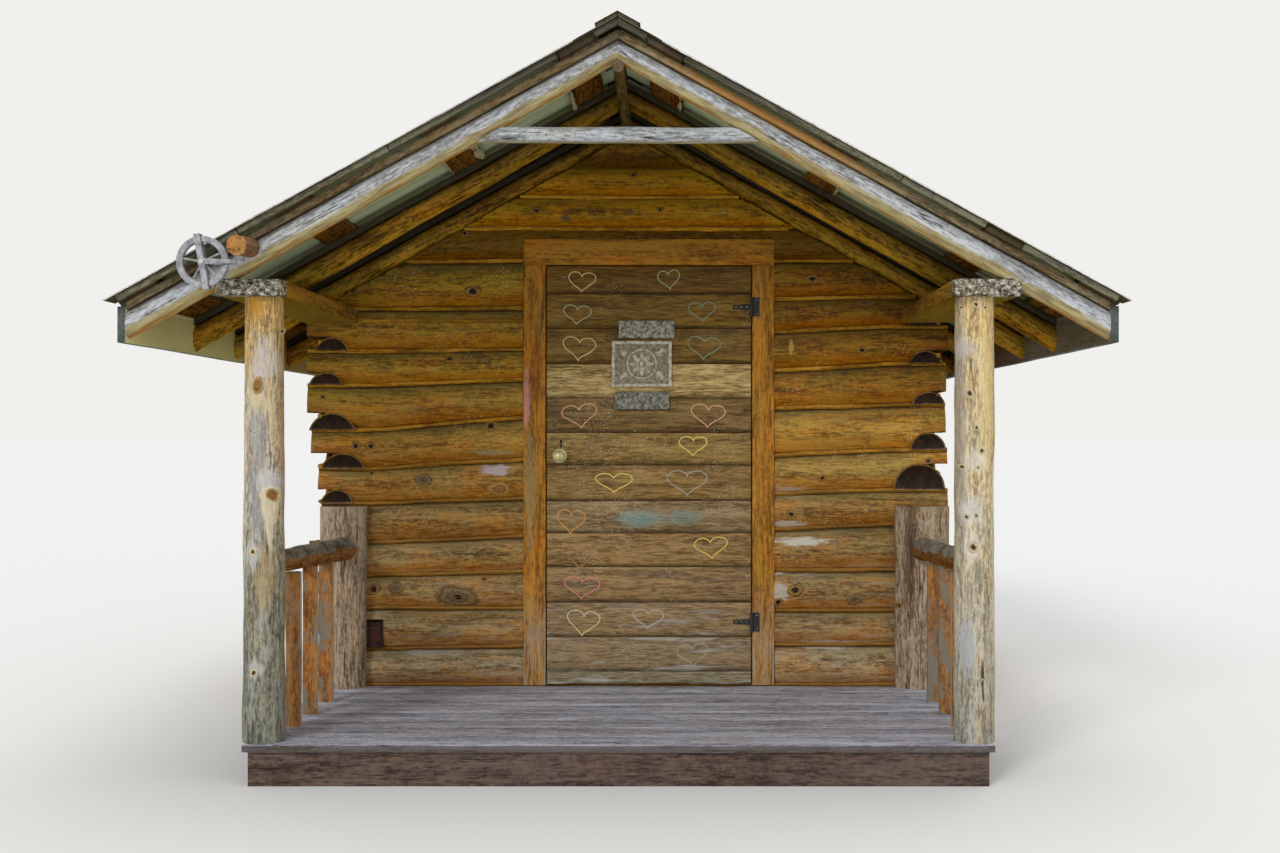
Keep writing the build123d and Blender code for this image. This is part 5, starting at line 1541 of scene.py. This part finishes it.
# Heights of the joints between the door's boards, with equal boards and as they are laid
LEAF_BOTTOM = 0.16
EQUAL_JOINTS = [0.3145, 0.4689, 0.6234, 0.7778, 0.9323, 1.0867, 1.2412, 1.3957, 1.5501, 1.7046, 1.8591]
LAID_JOINTS = [0.3691, 0.5223, 0.6794, 0.8294, 0.9728, 1.1308, 1.2746, 1.4287, 1.5792, 1.7363, 1.8903]
FOOT_BOARD_TOP = 0.2151
JOINT_REACH = 0.012


def lay_boards(piece):
    """Boards of unequal widths, with a narrow one at the foot."""
    mesh = piece.data
    choose_nothing(mesh)
    for index in loose_parts(mesh)[0]:
        mesh.vertices[index].select = True
    boards = len(mesh.vertices)
    edit(piece, "VERT")
    bpy.ops.mesh.duplicate()
    finish_edit()
    mesh = piece.data
    squeeze = (FOOT_BOARD_TOP - LEAF_BOTTOM) / (EQUAL_JOINTS[0] - LEAF_BOTTOM)
    for vertex in mesh.vertices[boards:]:
        vertex.co.z = LEAF_BOTTOM + (vertex.co.z - LEAF_BOTTOM) * squeeze
    moves = list(zip([LEAF_BOTTOM] + EQUAL_JOINTS, [FOOT_BOARD_TOP + 0.0006] + LAID_JOINTS))
    for vertex in mesh.vertices[:boards]:
        for equal, laid in moves:
            if abs(vertex.co.z - equal) < JOINT_REACH:
                vertex.co.z += laid - equal
                break


def door_leaf():
    piece = working_copy("door_boards", "door_boards_timber")
    lay_boards(piece)
    wear_edges(piece, 0.003, 60)
    slice_across(piece, X_AXIS, 0.06)
    lay_rise(piece, X_AXIS, 0.06)
    wander(piece, 0.3, 0.0009, 60, X_AXIS)
    lay_grain(piece, 60, X_AXIS)
    mesh = piece.data
    tone = mesh.attributes["tone"].data
    parts = loose_parts(mesh)
    for number, part in enumerate(parts):
        for index in part:
            tone[index].value = (number + 0.5) / len(parts)
    return dress(piece, [DOOR_BOARD], "door", ["door_boards"])


leaf = door_leaf()
leaf_low, leaf_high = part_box("door_boards")
leaf_face = leaf_low.y

for name, material in (
    ("door_hinge_straps", IRON), ("door_hinge_plates", IRON), ("door_knob", BRASS), ("knob_roses", BRASS),
    ("roof_sheet_left", SHEET), ("roof_sheet_right", SHEET), ("ridge_cap", RIDGE), ("pulley_hook", STEEL),
    ("pulley_frame", ALLOY), ("pulley_axle", STEEL), ("pulley_wheel", ALLOY),
):
    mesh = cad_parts[name].data
    mesh.materials.clear()
    mesh.materials.append(material)


def keyhole():
    """A slot with a round top in the leaf above the knob."""
    bpy.ops.object.select_all(action="DESELECT")
    bpy.ops.mesh.primitive_cylinder_add(
        vertices=20, radius=0.006, depth=0.004, location=(-0.303, leaf_face, 1.237),
        rotation=(math.pi / 2, 0, 0),
    )
    round_top = bpy.context.view_layer.objects.active
    slot = new_cube((-0.303, leaf_face, 1.222), (0.007, 0.004, 0.026))
    for piece in (round_top, slot):
        lay_flat(piece)
        round_all_edges(piece, 0.0008)
    dress(join_pieces([round_top, slot], "keyhole"), [KEYHOLE_DARK], "door")


keyhole()


# Across and height of the screws in the straps and in the plates, and how far forward their faces are
STRAP_SCREWS = [(x, z) for z in (1.833, 0.435) for x in (0.474, 0.498, 0.522)]
PLATE_SCREWS = [(0.567, z) for z in (1.803, 1.863, 0.405, 0.465)]
HINGE_FACE = -1.2913


def hinge_screws(name, places, body):
    """Domed screw heads with a slot."""
    made = []
    for x, z in places:
        head = new_ball()
        for vertex in head.data.vertices:
            across, out, up = vertex.co
            if out < -0.3 and abs(up) < 0.2:
                out *= 0.7
            vertex.co = Vector((x + across * 0.0036, HINGE_FACE + out * 0.0018, z + up * 0.0036))
        made.append(head)
    dress(join_pieces(made, name), [SCREW], body)


hinge_screws("strap_screws", STRAP_SCREWS, "door")
hinge_screws("plate_screws", PLATE_SCREWS, "cabin")


def stone_slab(node_name, name, seed, materials, pick=None):
    """A slab with chipped edges and an uneven face."""
    piece = working_copy(node_name, name)
    wear_edges(piece, 0.0035)
    slice_across(piece, X_AXIS, 0.011)
    slice_across(piece, Z_AXIS, 0.011)
    back = max(vertex.co.y for vertex in piece.data.vertices)
    for vertex in piece.data.vertices:
        if vertex.co.y < back - 0.001:
            vertex.co += drift(vertex.co, 0.025, 0.0022, seed)
    return dress(piece, materials, "door", [node_name], pick)


stone_slab("door_signs", "door_sign_slabs", 70, [STONE])
relief_low, relief_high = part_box("relief_plaque")
recess_y = relief_low.y + 0.005
stone_slab("relief_plaque", "relief_slab", 71, [STONE_PALE, STONE_DARK],
           lambda middle, normal: 1 if middle.y > recess_y - 0.002 and normal.y < -0.7 else 0)


def petal_relief():
    """A rosette of petals in a ring, with a leaf in each corner: a common border pattern."""
    centre = (relief_low + relief_high) / 2
    made = []

    def lobe(x, z, length, width, turn, thickness=0.006):
        shape = new_ball()
        for vertex in shape.data.vertices:
            narrow = 1 - 0.45 * vertex.co.x
            along, up = vertex.co.x * length / 2, vertex.co.z * width / 2 * narrow
            vertex.co = Vector((
                centre.x + x + along * math.cos(turn) - up * math.sin(turn),
                recess_y + 0.001 + vertex.co.y * thickness,
                centre.z + z + along * math.sin(turn) + up * math.cos(turn),
            ))
        made.append(shape)

    for petal in range(8):
        turn = petal * math.tau / 8
        lobe(0.036 * math.cos(turn), 0.036 * math.sin(turn), 0.042, 0.02, turn)
    lobe(0, 0, 0.022, 0.022, 0, 0.008)
    for x_side in (-1, 1):
        for z_side in (-1, 1):
            for step in (-0.4, 0.0, 0.4):
                turn = math.atan2(z_side, x_side) + step
                lobe(x_side * 0.082, z_side * 0.052, 0.044, 0.015, turn, 0.005)
    turns = [step * math.tau / 48 for step in range(48)]
    ring = [centre + Vector((0.064 * math.cos(turn), 0, 0.064 * math.sin(turn))) for turn in turns]
    ring = [(point.x, recess_y, point.z) for point in ring]
    made.append(strip_along("relief_ring", ring, 0.004, closed=True))
    carving = join_pieces(made, "relief_carving")
    for vertex in carving.data.vertices:
        vertex.co.y = max(vertex.co.y + drift(vertex.co, 0.012, 0.0008, 7).y, relief_low.y)
    return dress(carving, [STONE_PALE], "door")


petal_relief()

CHALK_CREAM = (220, 198, 136)
CHALK_GREENISH = (172, 182, 140)
CHALK_TEAL = (132, 156, 122)
CHALK_PEACH = (220, 164, 126)
CHALK_YELLOW = (222, 200, 104)
CHALK_GREY = (156, 158, 142)
CHALK_ORANGE = (206, 150, 80)
CHALK_FAINT = (162, 128, 84)
CHALK_PINK = (212, 132, 132)
CHALK_LILAC = (184, 174, 164)
# Centre, width and height in millimetres, and colour of each chalked heart
HEARTS = in_metres([
    (-210, 1944, 120, 89, CHALK_CREAM), (176, 1953, 98, 84, CHALK_GREENISH),
    (-232, 1798, 124, 84, CHALK_GREENISH), (323, 1811, 120, 84, CHALK_TEAL),
    (-223, 1647, 146, 102, CHALK_CREAM), (332, 1651, 146, 98, CHALK_TEAL),
    (-219, 1349, 155, 102, CHALK_PEACH), (349, 1349, 151, 102, CHALK_PEACH),
    (114, 1216, 98, 89, CHALK_FAINT), (283, 1216, 124, 84, CHALK_YELLOW),
    (-68, 1052, 164, 84, CHALK_YELLOW), (256, 1052, 178, 111, CHALK_GREY),
    (-259, 879, 124, 107, CHALK_ORANGE), (363, 763, 146, 93, CHALK_YELLOW),
    (-219, 723, 111, 107, CHALK_FAINT), (-210, 586, 155, 98, CHALK_PINK),
    (-205, 430, 142, 111, CHALK_CREAM), (83, 448, 138, 84, CHALK_LILAC), (-165, 284, 142, 120, CHALK_FAINT),
    (283, 288, 138, 98, CHALK_GREY),
])


def chalk(name, tint):
    """Chalk that catches on the raised grain and leaves the wood bare between."""
    material, tree, shader = new_material(name)
    grit = stretched_noise(tree, object_place(tree), (160, 160, 420), 3, 0.7)
    result = blend(tree, spread(tree, grit, 0.3, 0.46), (112, 88, 52), tint)
    tree.links.new(result, shader.inputs["Base Color"])
    shader.inputs["Roughness"].default_value = 0.95
    shader.inputs["Specular IOR Level"].default_value = 0.1
    return material


def chalk_hearts():
    """Hearts drawn in chalk on the boards, each a thin raised line."""
    draw = random.Random(8)
    groups = {}
    for x, z, width, height, tint in HEARTS:
        lean = draw.uniform(-0.12, 0.12)
        points = []
        for step in range(40):
            turn = step * math.tau / 40
            across = math.sin(turn) ** 3 * width / 2
            up = 13 * math.cos(turn) - 5 * math.cos(2 * turn) - 2 * math.cos(3 * turn) - math.cos(4 * turn)
            up = (up / 29 + 0.08) * height
            shake = drift(Vector((x + across, 0, z + up)), 0.03, 0.0025, 4)
            points.append((x + across - lean * up + shake.x, leaf_face, z + up + lean * across + shake.z))
        groups.setdefault(tint, []).append(strip_along("heart", points, 0.0025, closed=True, rounds=1))
    for number, (tint, hearts) in enumerate(groups.items()):
        piece = join_pieces(hearts, "chalk_hearts_%d" % number)
        for vertex in piece.data.vertices:
            vertex.co.y = leaf_face - 0.0006 + (vertex.co.y - leaf_face) * 0.2
        dress(piece, [chalk("chalk_%d" % number, tint)], "door")


chalk_hearts()


# Camera, light and floor


FLOOR_TONE = colour(232, 231, 228)
BACKDROP_LEVEL = 1.09


def plain_stage():
    """A wide pale floor under soft, even daylight, with a backdrop of the floor's own tone."""
    bpy.ops.object.select_all(action="DESELECT")
    bpy.ops.mesh.primitive_plane_add(size=4000, location=(0, 0, 0))
    floor = bpy.context.view_layer.objects.active
    floor.name = "floor"
    material, tree, shader = new_material("floor_pale")
    shader.inputs["Base Color"].default_value = FLOOR_TONE
    shader.inputs["Roughness"].default_value = 1.0
    shader.inputs["Specular IOR Level"].default_value = 0.0
    floor.data.materials.append(material)

    world = bpy.data.worlds.new("studio")
    bpy.context.scene.world = world
    world.use_nodes = True
    tree = world.node_tree
    tree.nodes.clear()
    out = node(tree, "ShaderNodeOutputWorld")
    light = node(tree, "ShaderNodeBackground")
    light.inputs["Color"].default_value = (0.95, 0.97, 1.0, 1)
    light.inputs["Strength"].default_value = 0.55
    seen = node(tree, "ShaderNodeBackground")
    seen.inputs["Color"].default_value = FLOOR_TONE
    seen.inputs["Strength"].default_value = BACKDROP_LEVEL
    rays = node(tree, "ShaderNodeLightPath")
    shown = maths(tree, "MAXIMUM", rays.outputs["Is Camera Ray"], rays.outputs["Is Glossy Ray"])
    shown = maths(tree, "MAXIMUM", shown, rays.outputs["Is Transmission Ray"])
    mix = node(tree, "ShaderNodeMixShader")
    tree.links.new(shown, mix.inputs[0])
    tree.links.new(light.outputs[0], mix.inputs[1])
    tree.links.new(seen.outputs[0], mix.inputs[2])
    tree.links.new(mix.outputs[0], out.inputs[0])

    for name, towards, power, width in (
        ("key", (-0.42, -0.78, 0.50), 1.35, 20),
        ("fill", (0.62, -0.75, 0.16), 0.55, 60),
        ("top", (0.10, 0.15, 1.0), 0.85, 40),
        ("back", (0.3, 0.9, 0.35), 0.5, 60),
    ):
        data = bpy.data.lights.new(name, "SUN")
        data.energy = power
        data.angle = math.radians(width)
        lamp = bpy.data.objects.new(name, data)
        lamp.rotation_euler = (-Vector(towards)).to_track_quat("-Z", "Y").to_euler()
        bpy.context.scene.collection.objects.link(lamp)
    bpy.context.scene.view_settings.view_transform = "Standard"


def photo_camera():
    data = bpy.data.cameras.new("camera")
    data.sensor_fit = "HORIZONTAL"
    data.sensor_width = SENSOR_WIDTH
    data.lens = FOCAL_PIXELS / PHOTO_WIDTH * SENSOR_WIDTH
    data.shift_x = (PHOTO_WIDTH / 2 - VANISHING_PIXEL[0]) / PHOTO_WIDTH
    data.shift_y = (VANISHING_PIXEL[1] - PHOTO_HEIGHT / 2) / PHOTO_WIDTH
    camera = bpy.data.objects.new("camera", data)
    camera.location = CAMERA_PLACE
    camera.rotation_euler = (math.pi / 2, 0, 0)
    bpy.context.scene.collection.objects.link(camera)
    bpy.context.scene.camera = camera


bpy.data.objects.remove(KNOT_MASTER)
plain_stage()
photo_camera()
